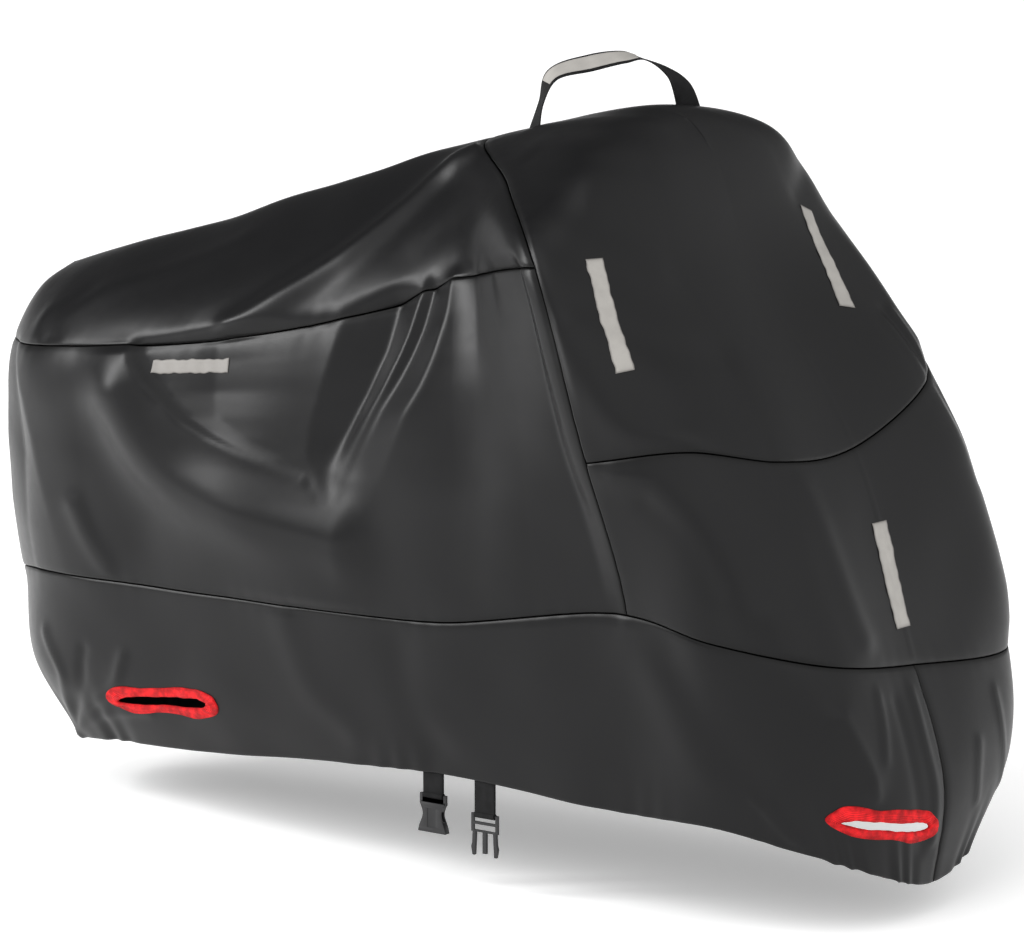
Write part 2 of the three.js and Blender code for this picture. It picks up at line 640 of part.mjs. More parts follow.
// The socket half: a waisted, flared body that is open below for the plug's prongs
function socketHalf() {
  const { length, inset, waist, flare, thick, mouth, deep, hollow } = SOCKET;
  const { frame, bottom } = buckleFrame(1);
  const foot = bottom - length;
  const side = new THREE.SplineCurve(
    corners([
      [BUCKLE.width / 2 - inset, bottom + BUCKLE.foot],
      [waist / 2, bottom - 0.35 * length],
      [flare / 2 - inset, foot + 0.2 * length],
      [flare / 2, foot],
    ]),
  ).getPoints(EYE_STEPS);
  const otherSide = side.map(({ x, y }) => new THREE.Vector2(-x, y)).reverse();
  const body = plate([...side, ...otherSide], [], thick);
  const opening = plate(rectangle(-mouth / 2, foot - 1, mouth, deep + 1), [], hollow);
  return frame.add(body).subtract(opening);
}

// A prong of the plug: from the frame's foot out to its catch, and back in at its tip
function prong(x, bottom, lean, width, length) {
  const inner = [[x, bottom + PLUG.root], [x + lean, bottom - 0.6 * length], [x + lean / 2, bottom - length]];
  const outer = inner.map(([across, up]) => [across + width, up]).reverse();
  return plate(corners([...inner, ...outer]), [], PLUG.thick);
}

// The plug half: a frame with two sprung outer prongs and a straight one in the middle
function plugHalf() {
  const { frame, bottom } = buckleFrame(2);
  const sprung = prong(BUCKLE.width / 2 - PLUG.prong - PLUG.lean, bottom, PLUG.lean, PLUG.prong, PLUG.length);
  const guide = prong(-PLUG.guide / 2, bottom, 0, PLUG.guide, PLUG.length - PLUG.shorter);
  return frame.add(sprung).add(sprung.scale([-1, 1, 1])).add(guide);
}

// Belt ends: each strap is sewn inside the hem and carries its half of the buckle
const halves = { socket: socketHalf(), plug: plugHalf() };
const hemRoom = solidOf(sheet(skirtCells("right"), { inner: -CLOTH - GAP, outer: CUT_DEPTH, setBack: 0 }));
for (const belt of BELTS) {
  const hem = between(cloth, "right", [belt.station, HEM]);
  const inside = new THREE.Vector3(hem.x, hem.y + CLOTH + GAP + WEBBING, hem.z);
  const section = strapSection(belt.drop);
  const strap = new THREE.ExtrudeGeometry(section, { depth: BELT_WIDTH, bevelEnabled: false });
  strap.translate(0, 0, -BELT_WIDTH / 2).rotateX(Math.PI / 2).rotateZ(Math.PI / 2).translate(...inside);
  add(`${belt.name}_strap`, geometryOf(solidOf(strap).subtract(hemRoom)), MATERIALS.webbing);
  const half = geometryOf(halves[belt.name]).translate(inside.x, inside.y, inside.z - belt.drop);
  add(`buckle_${belt.name}`, half, MATERIALS.plastic);
}

export default cover;
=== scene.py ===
# Fitted cover of coated polyester cloth, sewn from seven pieces, with reflective strips, two bound
# slots, a carrying handle and the two ends of an under-belt. Metres, in the frame of its solids:
# +X to the nose, +Y to the cover's left, +Z up, with the origin under the top.
import math

import bmesh
import bpy
import numpy as np
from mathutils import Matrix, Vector
from mathutils.bvhtree import BVHTree


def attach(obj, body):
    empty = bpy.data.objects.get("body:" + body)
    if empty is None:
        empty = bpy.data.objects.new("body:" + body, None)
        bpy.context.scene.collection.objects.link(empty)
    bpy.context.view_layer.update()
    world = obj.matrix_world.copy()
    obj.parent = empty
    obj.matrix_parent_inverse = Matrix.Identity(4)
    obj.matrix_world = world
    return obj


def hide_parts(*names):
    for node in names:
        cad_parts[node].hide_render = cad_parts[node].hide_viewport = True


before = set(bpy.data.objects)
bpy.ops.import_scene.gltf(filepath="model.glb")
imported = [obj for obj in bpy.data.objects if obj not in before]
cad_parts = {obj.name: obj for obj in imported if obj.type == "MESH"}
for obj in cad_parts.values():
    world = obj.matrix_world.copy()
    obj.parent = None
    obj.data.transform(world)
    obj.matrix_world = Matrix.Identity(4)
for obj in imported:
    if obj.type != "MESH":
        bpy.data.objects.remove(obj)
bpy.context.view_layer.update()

# The view: a long lens at standing height, from the nose end of the cover's right side, aimed at
# the middle of the cover.
AIM = Vector((0.2962, 0, -0.4487))
VIEW_AZIMUTH = math.radians(35)
VIEW_ELEVATION = math.radians(10.2)
VIEW_DISTANCE = 7.4
LENS_MM = 165.36
SENSOR_MM = 36
TO_VIEWER = Vector((
    math.sin(VIEW_AZIMUTH) * math.cos(VIEW_ELEVATION),
    -math.cos(VIEW_AZIMUTH) * math.cos(VIEW_ELEVATION),
    math.sin(VIEW_ELEVATION),
))
camera = bpy.data.objects.new("camera", bpy.data.cameras.new("camera"))
bpy.context.collection.objects.link(camera)
camera.data.sensor_width = SENSOR_MM
camera.data.lens = LENS_MM
camera.location = AIM + VIEW_DISTANCE * TO_VIEWER
camera.rotation_euler = (-TO_VIEWER).to_track_quat("-Z", "Y").to_euler()
bpy.context.scene.camera = camera

# The cloth as one surface, before it is parted at its seams: a coated polyester cover as it hangs,
# shaped by smooth lines through its sections from tail to nose. Places on it are a station along
# the cover and a level up it, both counted in sections.
ORIGIN = np.array((0.39, 0, 1.046))  # where the sections are measured from the ground
HEM, SKIRT, BAND, WAIST, SHOULDER, BRIM, CROWN = range(7)
ROWS = (3, 3, 5, 6, 4, 4)  # cells from each level to the next
FINER = 8  # and each cell is parted again
STATIONS = (
    # cells to the next section, and a point for each level: along, out and up
    (5, (-0.15, 0, 0.095), (-0.252, 0, 0.215), (-0.275, 0, 0.35), (-0.3, 0, 0.6),
     (-0.292, 0, 0.745), (-0.262, 0, 0.825), (-0.205, 0, 0.865)),  # tail centre
    (7, (-0.075, 0.125, 0.098), (-0.137, 0.184, 0.222), (-0.125, 0.205, 0.385), (-0.15, 0.21, 0.6),
     (-0.14, 0.205, 0.757), (-0.115, 0.13, 0.845), (-0.1, 0, 0.898)),  # tail corner
    (8, (0.185, 0.205, 0.12), (0.235, 0.255, 0.25), (0.27, 0.27, 0.4), (0.215, 0.28, 0.61),
     (0.225, 0.27, 0.8), (0.2, 0.16, 0.91), (0.16, 0, 0.973)),  # rear
    (5, (0.55, 0.26, 0.16), (0.56, 0.29, 0.275), (0.57, 0.3, 0.41), (0.54, 0.3, 0.62),
     (0.545, 0.27, 0.865), (0.48, 0.15, 0.99), (0.39, 0, 1.048)),  # low middle
    (8, (0.765, 0.275, 0.172), (0.765, 0.302, 0.29), (0.77, 0.31, 0.42), (0.8, 0.335, 0.64),
     (0.76, 0.255, 0.938), (0.665, 0.14, 1.052), (0.53, 0, 1.094)),  # high middle
    (5, (1.085, 0.285, 0.163), (1.097, 0.305, 0.31), (1.107, 0.31, 0.472), (1.077, 0.372, 0.706),
     (0.992, 0.382, 0.99), (0.832, 0.222, 1.084), (0.655, 0, 1.125)),  # hood rear
    (6, (1.26, 0.28, 0.162), (1.265, 0.31, 0.3), (1.262, 0.32, 0.45), (1.235, 0.335, 0.733),
     (1.068, 0.312, 0.985), (0.975, 0.235, 1.12), (0.83, 0, 1.172)),  # hood middle
    (5, (1.43, 0.165, 0.1), (1.425, 0.22, 0.24), (1.4, 0.235, 0.42), (1.305, 0.2, 0.708),
     (1.108, 0.17, 0.985), (1.035, 0.13, 1.132), (0.95, 0, 1.188)),  # nose corner
    (0, (1.46, 0, 0.052), (1.478, 0, 0.2), (1.422, 0, 0.383), (1.31, 0, 0.7),
     (1.122, 0, 0.975), (1.06, 0, 1.122), (1.01, 0, 1.175)),  # nose centre
)
LEFT_MOVES = {
    # station and level: how the left side's point lies off the right one's
    (1, HEM): (0, 0, -0.016),
    (5, SHOULDER): (0, 0.018, 0.005),
    (6, SKIRT): (0, 0.01, -0.02), (6, BAND): (0, 0.015, -0.035), (6, WAIST): (0, -0.03, 0.07),
    (6, SHOULDER): (0.01, 0.015, 0.008), (6, BRIM): (0.01, 0.035, 0.015),
    (7, HEM): (0, 0.01, 0), (7, SKIRT): (0, 0.065, -0.02), (7, BAND): (0.01, 0.07, -0.06),
    (7, WAIST): (0, 0.025, 0.065), (7, SHOULDER): (0.008, 0.01, 0.005), (7, BRIM): (0.01, 0.015, 0.01),
}
NOSE = len(STATIONS) - 1
HOOD_REAR = 5
RIGHT, LEFT = 0, 1
SIDES = {"right": RIGHT, "left": LEFT}


def fine_places(counts):
    steps = [index + np.arange(n * FINER) / (n * FINER) for index, n in enumerate(counts)]
    return np.append(np.concatenate(steps), len(counts))


STATION_AT = fine_places([row[0] for row in STATIONS[:-1]])
LEVEL_AT = fine_places(ROWS)


def smooth_line(points, places, closed=False):
    # A centripetal spline through the points, read at places counted in points
    points = np.asarray(points, float)
    places = np.asarray(places, float)
    start = np.floor(places).astype(int)
    if closed:
        before, here, there, after = (points[(start + step) % len(points)] for step in (-1, 0, 1, 2))
    else:
        start = np.minimum(start, len(points) - 2)
        ends = np.concatenate([[2 * points[0] - points[1]], points, [2 * points[-1] - points[-2]]])
        before, here, there, after = (ends[start + step] for step in (0, 1, 2, 3))
    share = (places - start).reshape((-1,) + (1,) * (points.ndim - 1))
    one, two, three = (
        np.sqrt(np.linalg.norm(end - begin, axis=-1, keepdims=True))
        for begin, end in ((before, here), (here, there), (there, after))
    )
    leave = ((here - before) / one - (there - before) / (one + two) + (there - here) / two) * two
    arrive = ((there - here) / two - (after - here) / (two + three) + (after - there) / three) * two
    bow = 3 * (there - here) - 2 * leave - arrive
    return here + leave * share + bow * share**2 + (2 * (here - there) + leave + arrive) * share**3


def station_points(level, side):
    points = []
    for station, (_, *row) in enumerate(STATIONS):
        x, out, z = row[level]
        more = LEFT_MOVES.get((station, level), (0, 0, 0)) if side == LEFT else (0, 0, 0)
        points.append((x + more[0], (out + more[1]) * (1 if side == LEFT else -1), z + more[2]))
    return np.array(points) - ORIGIN


def level_lines(level):
    # The level on the right and the left side, both from tail to nose
    right, left = station_points(level, RIGHT), station_points(level, LEFT)
    if level == CROWN:
        line = smooth_line(right, STATION_AT)
        return line, line
    ring = np.concatenate([right, left[-2:0:-1]])
    back = len(ring) - STATION_AT
    return smooth_line(ring, STATION_AT, closed=True), smooth_line(ring, back, closed=True)


def hanging_surface():
    # Smooth hoops from the right hem over the crown to the left one, through all the levels
    lines = [level_lines(level) for level in range(CROWN + 1)]
    rising = np.array([right for right, _ in lines])
    falling = np.array([left for _, left in lines[-2::-1]])
    hoops = np.concatenate([rising, falling])
    right = smooth_line(hoops, LEVEL_AT)
    left = smooth_line(hoops, len(hoops) - 1 - LEVEL_AT)
    # The lines up the tail's and the nose's middle turn over the crown
    crown = station_points(CROWN, RIGHT)
    for column, beyond in ((0, crown[1]), (-1, crown[-2])):
        middle = smooth_line(np.append(rising[:, column], [beyond], axis=0), LEVEL_AT)
        right[:, column] = middle
        left[:, column] = middle
    return np.stack([right, left])


base = hanging_surface()
GRID = base.shape[:3]
# A number for each point, which the sides share on the crown, the tail's middle and the nose's
ids = np.arange(base[..., 0].size).reshape(GRID)
ids[LEFT, -1] = ids[RIGHT, -1]
ids[LEFT, :, 0] = ids[RIGHT, :, 0]
ids[LEFT, :, -1] = ids[RIGHT, :, -1]


def cells(sides, stations, levels):
    # Quads between two stations and two levels, facing outwards
    first, last = np.searchsorted(STATION_AT, stations)
    low, high = np.searchsorted(LEVEL_AT, levels)
    quads = []
    for side in sides:
        block = ids[side, low:high + 1, first:last + 1]
        ring = [block[:-1, :-1], block[:-1, 1:], block[1:, 1:], block[1:, :-1]]
        turned = ring if side == RIGHT else ring[::-1]
        quads.append(np.stack(turned, -1).reshape(-1, 4))
    return np.concatenate(quads)


def unit(vectors):
    return vectors / np.maximum(np.linalg.norm(vectors, axis=-1, keepdims=True), 1e-9)


def outward_of(points, quads):
    a, b, c, d = (points[quads[:, corner]] for corner in range(4))
    total = np.zeros_like(points)
    for corner in range(4):
        np.add.at(total, quads[:, corner], np.cross(c - a, d - b))
    return unit(total)


ALL_CELLS = cells((RIGHT, LEFT), (0, NOSE), (HEM, CROWN))


def on_cloth(vectors, side, station, level):
    # What the vectors of the points say between them, at a station and level
    column = np.interp(station, STATION_AT, np.arange(len(STATION_AT)))
    row = np.interp(level, LEVEL_AT, np.arange(len(LEVEL_AT)))
    c = np.minimum(np.floor(column).astype(int), GRID[2] - 2)
    r = np.minimum(np.floor(row).astype(int), GRID[1] - 2)
    u, v = (column - c)[..., None], (row - r)[..., None]
    near = [vectors[ids[side, r + up, c + on]] for up in (0, 1) for on in (0, 1)]
    return (near[0] * (1 - u) + near[1] * u) * (1 - v) + (near[2] * (1 - u) + near[3] * u) * v


# The cloth's folds and creases, as it is drawn and slack over what it covers: soft ridges and
# troughs along paths of places, and on the right side crisp lines between flatter faces, from the
# tuck in its middle to the seam of the hood.
PANELS = {
    "top": ((0, HOOD_REAR), (SHOULDER, CROWN)),
    "side": ((0, HOOD_REAR), (BAND, SHOULDER)),
    "hood": ((HOOD_REAR, NOSE), (WAIST, CROWN)),
    "front": ((HOOD_REAR, NOSE), (BAND, WAIST)),
    "skirt": ((0, NOSE), (HEM, BAND)),
}
TOP_RIDGE = ((4.9, 5.6), (4.5, 5.5), (3.9, 5.22), (3.5, 4.95), (3.1, 4.66), (2.72, 4.38), (2.34, 4.05))
SIDE_SWELL = ((1.72, 3.5), (1.85, 3.16), (2.05, 2.88), (2.4, 2.7), (2.75, 2.62), (3.1, 2.56))
HOOD_RIDGE = ((5.2, 3.62), (5.26, 3.42), (5.38, 3.22), (5.6, 3.1), (6, 3.03))
FRONT_RIDGE = ((5.3, 2.95), (5.56, 2.84), (5.79, 2.7), (5.98, 2.55), (6.17, 2.42), (6.38, 2.2))
HEM_GATHER = (0.95, 0.08)
# For a side and panel: half width and depth in mm, and path
FOLDS = {
    ("right", "top"): (
        (28, 12, TOP_RIDGE),
        (40, -3, ((4.6, 4.9), (4.1, 4.6), (3.6, 4.35))),
        (34, 4, ((2.2, 5.2), (1.6, 4.9), (1.1, 4.4))),
        (26, -3, ((1.3, 4.8), (1.2, 4.4), (1.25, 4.1))),
    ),
    ("right", "side"): (
        (62, 25, SIDE_SWELL),
        (110, 8, ((2.5, 2.6), (2.65, 2.3), (2.75, 2.05))),
        (60, -5, ((4.16, 3.2), (4.15, 2.75), (4.13, 2.35))),
        (22, 5, ((1.41, 2.55), (1.45, 2.35), (1.52, 2.12))),
        (60, -6, ((1.6, 3.1), (1.75, 2.5))),
    ),
    ("right", "hood"): (
        (32, 8, HOOD_RIDGE),
        (16, 1.5, ((5.1, 5.7), (5.1, 5), (5.1, 4.4), (5.1, 3.8), (5.12, 3.4))),
        (30, 4, ((5.6, 5.82), (6.3, 5.62), (7.2, 5.5))),
        (26, -3, ((5.5, 5.3), (6, 5.1), (6.8, 4.9))),
        (36, 4, ((5.35, 4.5), (5.9, 4.2), (6.6, 3.95))),
        (30, -4, ((5.6, 3.75), (6.2, 3.55), (6.9, 3.5))),
    ),
    ("right", "front"): (
        (36, 9, FRONT_RIDGE),
        (22, -4, ((5.5, 2.75), (5.85, 2.55), (6.1, 2.3))),
        (26, 4, ((7.2, 2.9), (7.35, 2.5), (7.5, 2.15))),
    ),
    ("right", "skirt"): (
        (28, 6, ((7.1, 1.6), (7.2, 1.4), (7.3, 1.1))),
        (10, 2.5, ((7.1, 1.62), (7.2, 1.4), (7.28, 1.2), (7.31, 0.95))),
        (10, 2.5, ((7.5, 1.8), (7.49, 1.59), (7.45, 1.3))),
        (11, 3, ((7.87, 1.82), (7.86, 1.43), (7.89, 1), (7.88, 0.5))),
        (12, -2, ((7.67, 1.75), (7.68, 1.3), (7.7, 0.9), (7.74, 0.4))),
        (40, 4, ((5.1, 1.8), (5.5, 1.25), (5.9, 0.7))),
        (34, -4, ((5.5, 1.75), (5.9, 1.2), (6.3, 0.75))),
        (8, 2.5, ((6.28, 0.5), (6.4, 0.32), (6.5, 0.15))),
        (8, 2.5, ((6.4, 0.5), (6.48, 0.33), (6.56, 0.12))),
        (11, 3.5, (HEM_GATHER, (1.3, 0.48), (1.55, 0.82), (1.62, 1.23))),
        (10, 2.5, (HEM_GATHER, (1.35, 0.35), (1.6, 0.48), (1.74, 0.52))),
        (12, 3.5, (HEM_GATHER, (1.1, 0.49), (1.23, 0.94), (1.13, 1.38))),
        (11, -3, (HEM_GATHER, (1.2, 0.5), (1.35, 0.85), (1.4, 1.25))),
        (75, 15, ((0.3, 0), (0.6, 0), (0.9, 0))),
        (32, 3, ((2.6, 1.8), (2.8, 1.1), (3.1, 0.5))),
        (34, -3, ((3.6, 1.7), (3.7, 1), (3.9, 0.4))),
    ),
    ("left", "top"): (
        (42, 13, ((4.7, 5.5), (3.6, 4.9), (2.6, 4.2))),
        (26, -4, ((4.4, 5), (3.8, 4.5), (3.4, 4.15))),
    ),
    ("left", "side"): (
        (45, -15, ((2.2, 3.8), (2.5, 3.4), (2.9, 3.2))),
        (13, 4, ((1.85, 3.9), (2, 3.5), (2.4, 3.2), (2.9, 3))),
        (60, 12, ((2.1, 3.1), (2.7, 2.85), (3.3, 2.7))),
        (38, 15, ((4.1, 3.9), (3.8, 3.5), (3.4, 2.9))),
        (30, -11, ((3.5, 3.85), (3.2, 3.1))),
        (10, -3, ((3.55, 3.9), (3.35, 3.5), (3.15, 3))),
        (28, 10, ((1, 3.8), (1.25, 3), (1.3, 2.1))),
        (70, -12, ((4.5, 2.8), (4.6, 2.3))),
        (11, 2.5, ((4.5, 3.95), (4.55, 3.5), (4.7, 3))),
    ),
    ("left", "hood"): (
        (30, 6, ((5.3, 3.4), (5.7, 3.15), (6.2, 3.04))),
        (15, 3, ((5.1, 5.7), (5.1, 4.8), (5.1, 3.8))),
        (30, -3, ((5.6, 4.9), (6.2, 4.6), (6.8, 4.3))),
        (12, 2.5, ((6.62, 3.35), (6.7, 3.16), (6.75, 3.03))),
        (12, -2.5, ((6.78, 3.4), (6.84, 3.2), (6.88, 3.04))),
        (12, 2, ((6.95, 3.35), (6.98, 3.18), (7, 3.04))),
    ),
    ("left", "front"): (
        (90, 14, ((6.85, 2.68), (6.97, 2.28))),
        (36, 9, ((5.4, 2.9), (6.1, 2.4))),
        (12, -2.5, ((6.8, 2.95), (6.86, 2.75), (6.9, 2.6))),
    ),
    ("left", "skirt"): (
        (11, 2.5, ((7.64, 1.3), (7.67, 1.04), (7.65, 0.75))),
        (10, 2.5, ((7.4, 1.7), (7.38, 1.2), (7.3, 0.7))),
        (11, 3, (HEM_GATHER, (1.2, 0.5), (1.3, 1.1))),
        (34, 4, ((5.2, 1.8), (5.5, 1.2), (5.8, 0.6))),
        (32, -3, ((3, 1.8), (3.1, 1), (3.3, 0.4))),
    ),
}
FOLD_REACH = 2.2
PATH_STEPS = 8
SEAM_SHARE = 0.2  # of a fold's depth is left at a seam
FADE = 0.12
# Lines of the creased right side, in order from the tail: station, level and depth in mm
CREASE_LINES = (
    ((0.5, 4), 0, (0.6, 3.3), 2, (0.62, 2.9), 6, (0.6, 2.5), 8, (0.55, 2), 4),
    ((0.7, 4), -4, (0.78, 3.66), -7, (0.88, 3.3), -9, (0.97, 2.9), -9, (0.97, 2.65), -5, (0.95, 2.35), 0),
    ((0.8, 4), 1, (0.97, 3.66), 4, (1.08, 3.4), 5, (1.16, 3.05), 6, (1.22, 2.6), 6, (1.28, 2.1), 3),
    ((1.45, 4), 0, (1.5, 3), 0, (1.5, 2), 0),
    ((1.74, 4.02), 4, (1.79, 3.82), 7, (1.87, 3.64), 8, (1.97, 3.49), 8, (2.1, 3.34), 8, (2.26, 3.23), 7,
     (2.44, 3.14), 6, (2.62, 3.07), 5, (2.85, 2.98), 3, (3, 2.8), 0),
    ((1.78, 4.02), -7, (1.83, 3.82), -9, (1.91, 3.64), -10, (2.01, 3.49), -9, (2.15, 3.34), -6,
     (2.32, 3.23), -3, (2.5, 3.15), 0, (2.67, 3.08), 2, (2.9, 2.98), 2, (3.02, 2.8), 0),
    ((2.23, 4.02), -20, (2.24, 3.8), -22, (2.26, 3.55), -19, (2.3, 3.36), -10, (2.48, 3.22), -4,
     (2.75, 3.1), -1, (3.03, 2.8), 0),
    ((3.03, 4.02), -5, (2.97, 3.71), -6, (2.93, 3.5), -5, (2.9, 3.3), -2, (2.9, 3.12), 0, (3.06, 2.8), 0),
    ((3.45, 4.02), -25, (3.36, 3.7), -26, (3.24, 3.47), -22, (3.12, 3.25), -14, (3.04, 3.05), -4,
     (3.08, 2.8), 0),
    ((3.71, 4.02), -2, (3.61, 3.78), -2, (3.53, 3.65), -3, (3.44, 3.52), -3, (3.34, 3.4), -3,
     (3.22, 3.2), -2, (3.14, 3), 0, (3.12, 2.8), 0),
    ((3.78, 4.02), -11, (3.68, 3.78), -12, (3.6, 3.64), -11, (3.52, 3.52), -9, (3.42, 3.4), -6,
     (3.3, 3.2), -3, (3.22, 3), 0, (3.16, 2.8), 0),
    ((4.03, 4.02), 13, (3.98, 3.8), 16, (3.88, 3.6), 17, (3.78, 3.46), 16, (3.67, 3.35), 14,
     (3.55, 3.15), 8, (3.44, 2.95), 5, (3.34, 2.7), 2, (3.3, 2.3), 0),
    ((4.22, 4.02), -1, (4.2, 3.6), -4, (4.16, 3.2), -7, (4.12, 2.7), -6, (4.1, 2), -2),
    ((4.28, 4.02), 0, (4.28, 3.75), -5, (4.3, 3.4), -10, (4.3, 2.7), -10, (4.3, 2), -3),
    ((4.38, 4.02), -4, (4.4, 3.7), -9, (4.42, 3.4), -13, (4.42, 2.7), -13, (4.42, 2), -4),
    ((4.46, 4.02), -2, (4.47, 3.75), -9, (4.5, 3.4), -15, (4.5, 2.7), -15, (4.5, 2), -5),
    ((4.76, 4.02), -12, (4.76, 3.6), -18, (4.8, 3.2), -21, (4.84, 2.8), -20, (4.86, 2.4), -14,
     (4.88, 2), -4),
    ((4.84, 4.02), -1, (4.85, 3.6), -4, (4.89, 3.3), -6, (4.91, 3), -8, (4.93, 2.6), -8, (4.95, 2.2), -4),
    ((5, 4), -1, (5, 3), 0, (5, 2), 0),
)
CREASE_SPILL = 0.16


def within_panel(panel):
    # The share of a fold's depth at each point: all of it inside the panel, some at its seams and
    # none past them
    (first, last), (low, high) = PANELS[panel]
    rise = np.minimum(
        LEVEL_AT - low if low > HEM else np.ones_like(LEVEL_AT),
        high - LEVEL_AT if high < CROWN else 1,
    )
    run = np.minimum(
        STATION_AT - first if first > 0 else np.ones_like(STATION_AT),
        last - STATION_AT if last < NOSE else 1,
    )
    near = np.minimum(rise[:, None], run[None, :]) / FADE
    share = np.clip(near, 0, 1)
    eased = share * share * (3 - 2 * share)
    return np.where(near < -1e-6, 0, SEAM_SHARE + (1 - SEAM_SHARE) * eased)


def distance_along(points, path):
    nearest = np.full(len(points), np.inf)
    for begin, end in zip(path, path[1:]):
        run = end - begin
        share = np.clip((points - begin) @ run / (run @ run), 0, 1)
        gap = np.linalg.norm(points - begin - share[:, None] * run, axis=1)
        nearest = np.minimum(nearest, gap)
    return nearest


def fold_depths():
    depth = np.zeros(GRID)
    for (side, panel), folds in FOLDS.items():
        within = within_panel(panel)
        points, deep = base[SIDES[side]], depth[SIDES[side]]
        for width_mm, depth_mm, places in folds:
            width = width_mm / 1000
            steps = np.linspace(0, len(places) - 1, PATH_STEPS * (len(places) - 1) + 1)
            course = smooth_line(np.array(places, float), steps)
            path = on_cloth(base.reshape(-1, 3), SIDES[side], course[:, 0], course[:, 1])
            low, high = path.min(axis=0) - FOLD_REACH * width, path.max(axis=0) + FOLD_REACH * width
            close = np.all((points > low) & (points < high), axis=-1) & (within > 0)
            gap = distance_along(points[close], path) / width
            deep[close] += depth_mm / 1000 * np.exp(-gap * gap) * within[close]
    return depth


def crease_depths():
    # Straight faces between the lines at each level, which spill a little past the seams
    (first, last), (low, high) = PANELS["side"]
    columns = (STATION_AT >= first) & (STATION_AT <= last)
    depth = np.zeros(GRID[1:])
    for row, level in enumerate(LEVEL_AT):
        stations, depths = [], []
        for line in CREASE_LINES:
            places, sizes = np.array(line[0::2])[::-1], np.array(line[1::2])[::-1]
            stations.append(np.interp(level, places[:, 1], places[:, 0]))
            depths.append(np.interp(level, places[:, 1], sizes))
        past = max(low - level, level - high, 0) / CREASE_SPILL
        share = max(0, 1 - past) ** 2
        in_order = np.maximum.accumulate(stations)
        depth[row, columns] = share * np.interp(STATION_AT[columns], in_order, depths)
    # Each edge is rounded over a cell
    for axis in (0, 1):
        before, after = np.roll(depth, 1, axis), np.roll(depth, -1, axis)
        depth = (before + 2 * depth + after) / 4
    return np.stack([depth, np.zeros_like(depth)]) / 1000


# Seams draw the cloth in: along each a shallow trough with uneven puckers at right angles to it.
# An elastic in the hem gathers it at the tail and nose, and a slight unevenness lies all over.
SEAMS = (
    # along a level or a station, which one, from where to where, and the puckers' size in mm
    ("level", SHOULDER, (0, HOOD_REAR), 0.3),
    ("level", WAIST, (HOOD_REAR, NOSE), 0.3),
    ("level", BAND, (0, NOSE), 0.3),
    ("station", HOOD_REAR, (BAND, CROWN), 0.4),
    ("station", NOSE, (HEM, BAND), 0.3),
    ("station", 0, (HEM, SHOULDER), 0.3),
)
TROUGH = {"depth": 0.0014, "half_width": 0.007}
PUCKER_REACH = 0.022
# Wave lengths and sizes of the puckers, and of the swell that makes them come and go
PUCKER_WAVES = ((0.034, 0.047, 0.081), (0.45, 0.4, 0.35))
PUCKER_SWELL = ((0.31,), (0.5,))
PUCKER_SHARE = 0.7
GATHERS = (
    # side, stations, count, depth, and levels up that they reach
    ("right", (0.2, 1.75), 6.5, 0.0024, 1.2),
    ("left", (0.2, 1.75), 6, 0.0024, 1.2),
    ("right", (6.2, 7.9), 7.5, 0.003, 0.9),
    ("left", (6.3, 7.9), 6.5, 0.003, 0.9),
    ("right", (1.8, 6.1), 13, 0.0008, 0.6),
    ("left", (1.8, 6.1), 12, 0.0008, 0.6),
)
GATHER_DRIFT = 0.05
GATHER_FADE = 1.3
UNEVEN = ((0.34, 0.0008), (0.22, 0.0005), (0.14, 0.0003), (0.09, 0.0001))
# How far from a seam its painted shade reaches
PAINTED_SEAM_SHADE_REACH = 0.006
chance = np.random.default_rng(29)


def waves(along, lengths, sizes):
    # An irregular wave, from sines of unlike lengths with chance offsets
    offsets = chance.uniform(0, 2 * math.pi, len(lengths))
    return sum(
        size * np.sin(2 * math.pi * along / length + offset)
        for length, size, offset in zip(lengths, sizes, offsets)
    )


up_gap = np.linalg.norm(np.diff(base, axis=1), axis=-1)
up_length = np.concatenate([np.zeros((2, 1, GRID[2])), np.cumsum(up_gap, axis=1)], axis=1)
on_gap = np.linalg.norm(np.diff(base, axis=2), axis=-1)
on_length = np.concatenate([np.zeros((2, GRID[1], 1)), np.cumsum(on_gap, axis=2)], axis=2)


def seam_distances():
    # For each seam its puckers' size, and every point's distance from it and length along it
    gaps = []
    for along, place, (low, high), pucker_mm in SEAMS:
        if along == "level":
            line = int(np.searchsorted(LEVEL_AT, place))
            gap = np.abs(up_length - up_length[:, line:line + 1])
            gap[:, :, (STATION_AT < low) | (STATION_AT > high)] = np.inf
            gaps.append((pucker_mm, gap, on_length))
        else:
            line = int(np.searchsorted(STATION_AT, place))
            gap = np.abs(on_length - on_length[:, :, line:line + 1])
            gap[:, (LEVEL_AT < low) | (LEVEL_AT > high)] = np.inf
            gaps.append((pucker_mm, gap, up_length))
    return gaps


def sewing_depths(gaps):
    depth = np.zeros(GRID)
    for pucker_mm, gap, along in gaps:
        near = np.where(np.isfinite(gap), gap, 1)
        depth -= TROUGH["depth"] * np.exp(-(near / TROUGH["half_width"]) ** 2)
        wave = waves(along, *PUCKER_WAVES) * (PUCKER_SHARE + waves(along, *PUCKER_SWELL))
        depth += pucker_mm / 1000 * wave * np.exp(-near / PUCKER_REACH)
    return depth


def gather_depths():
    depth = np.zeros(GRID)
    for side, (first, last), count, deep, reach in GATHERS:
        share = np.clip((STATION_AT - first) / (last - first), 0, 1)
        wave = np.sin(math.pi * share) * np.sin(
            2 * math.pi * count * (share + GATHER_DRIFT * np.sin(5 * math.pi * share)),
        )
        rise = np.clip(1 - LEVEL_AT / reach, 0, 1) ** GATHER_FADE
        depth[SIDES[side]] += deep * rise[:, None] * wave[None, :]
    depth[:, :, 0] = 0
    depth[:, :, -1] = 0
    return depth


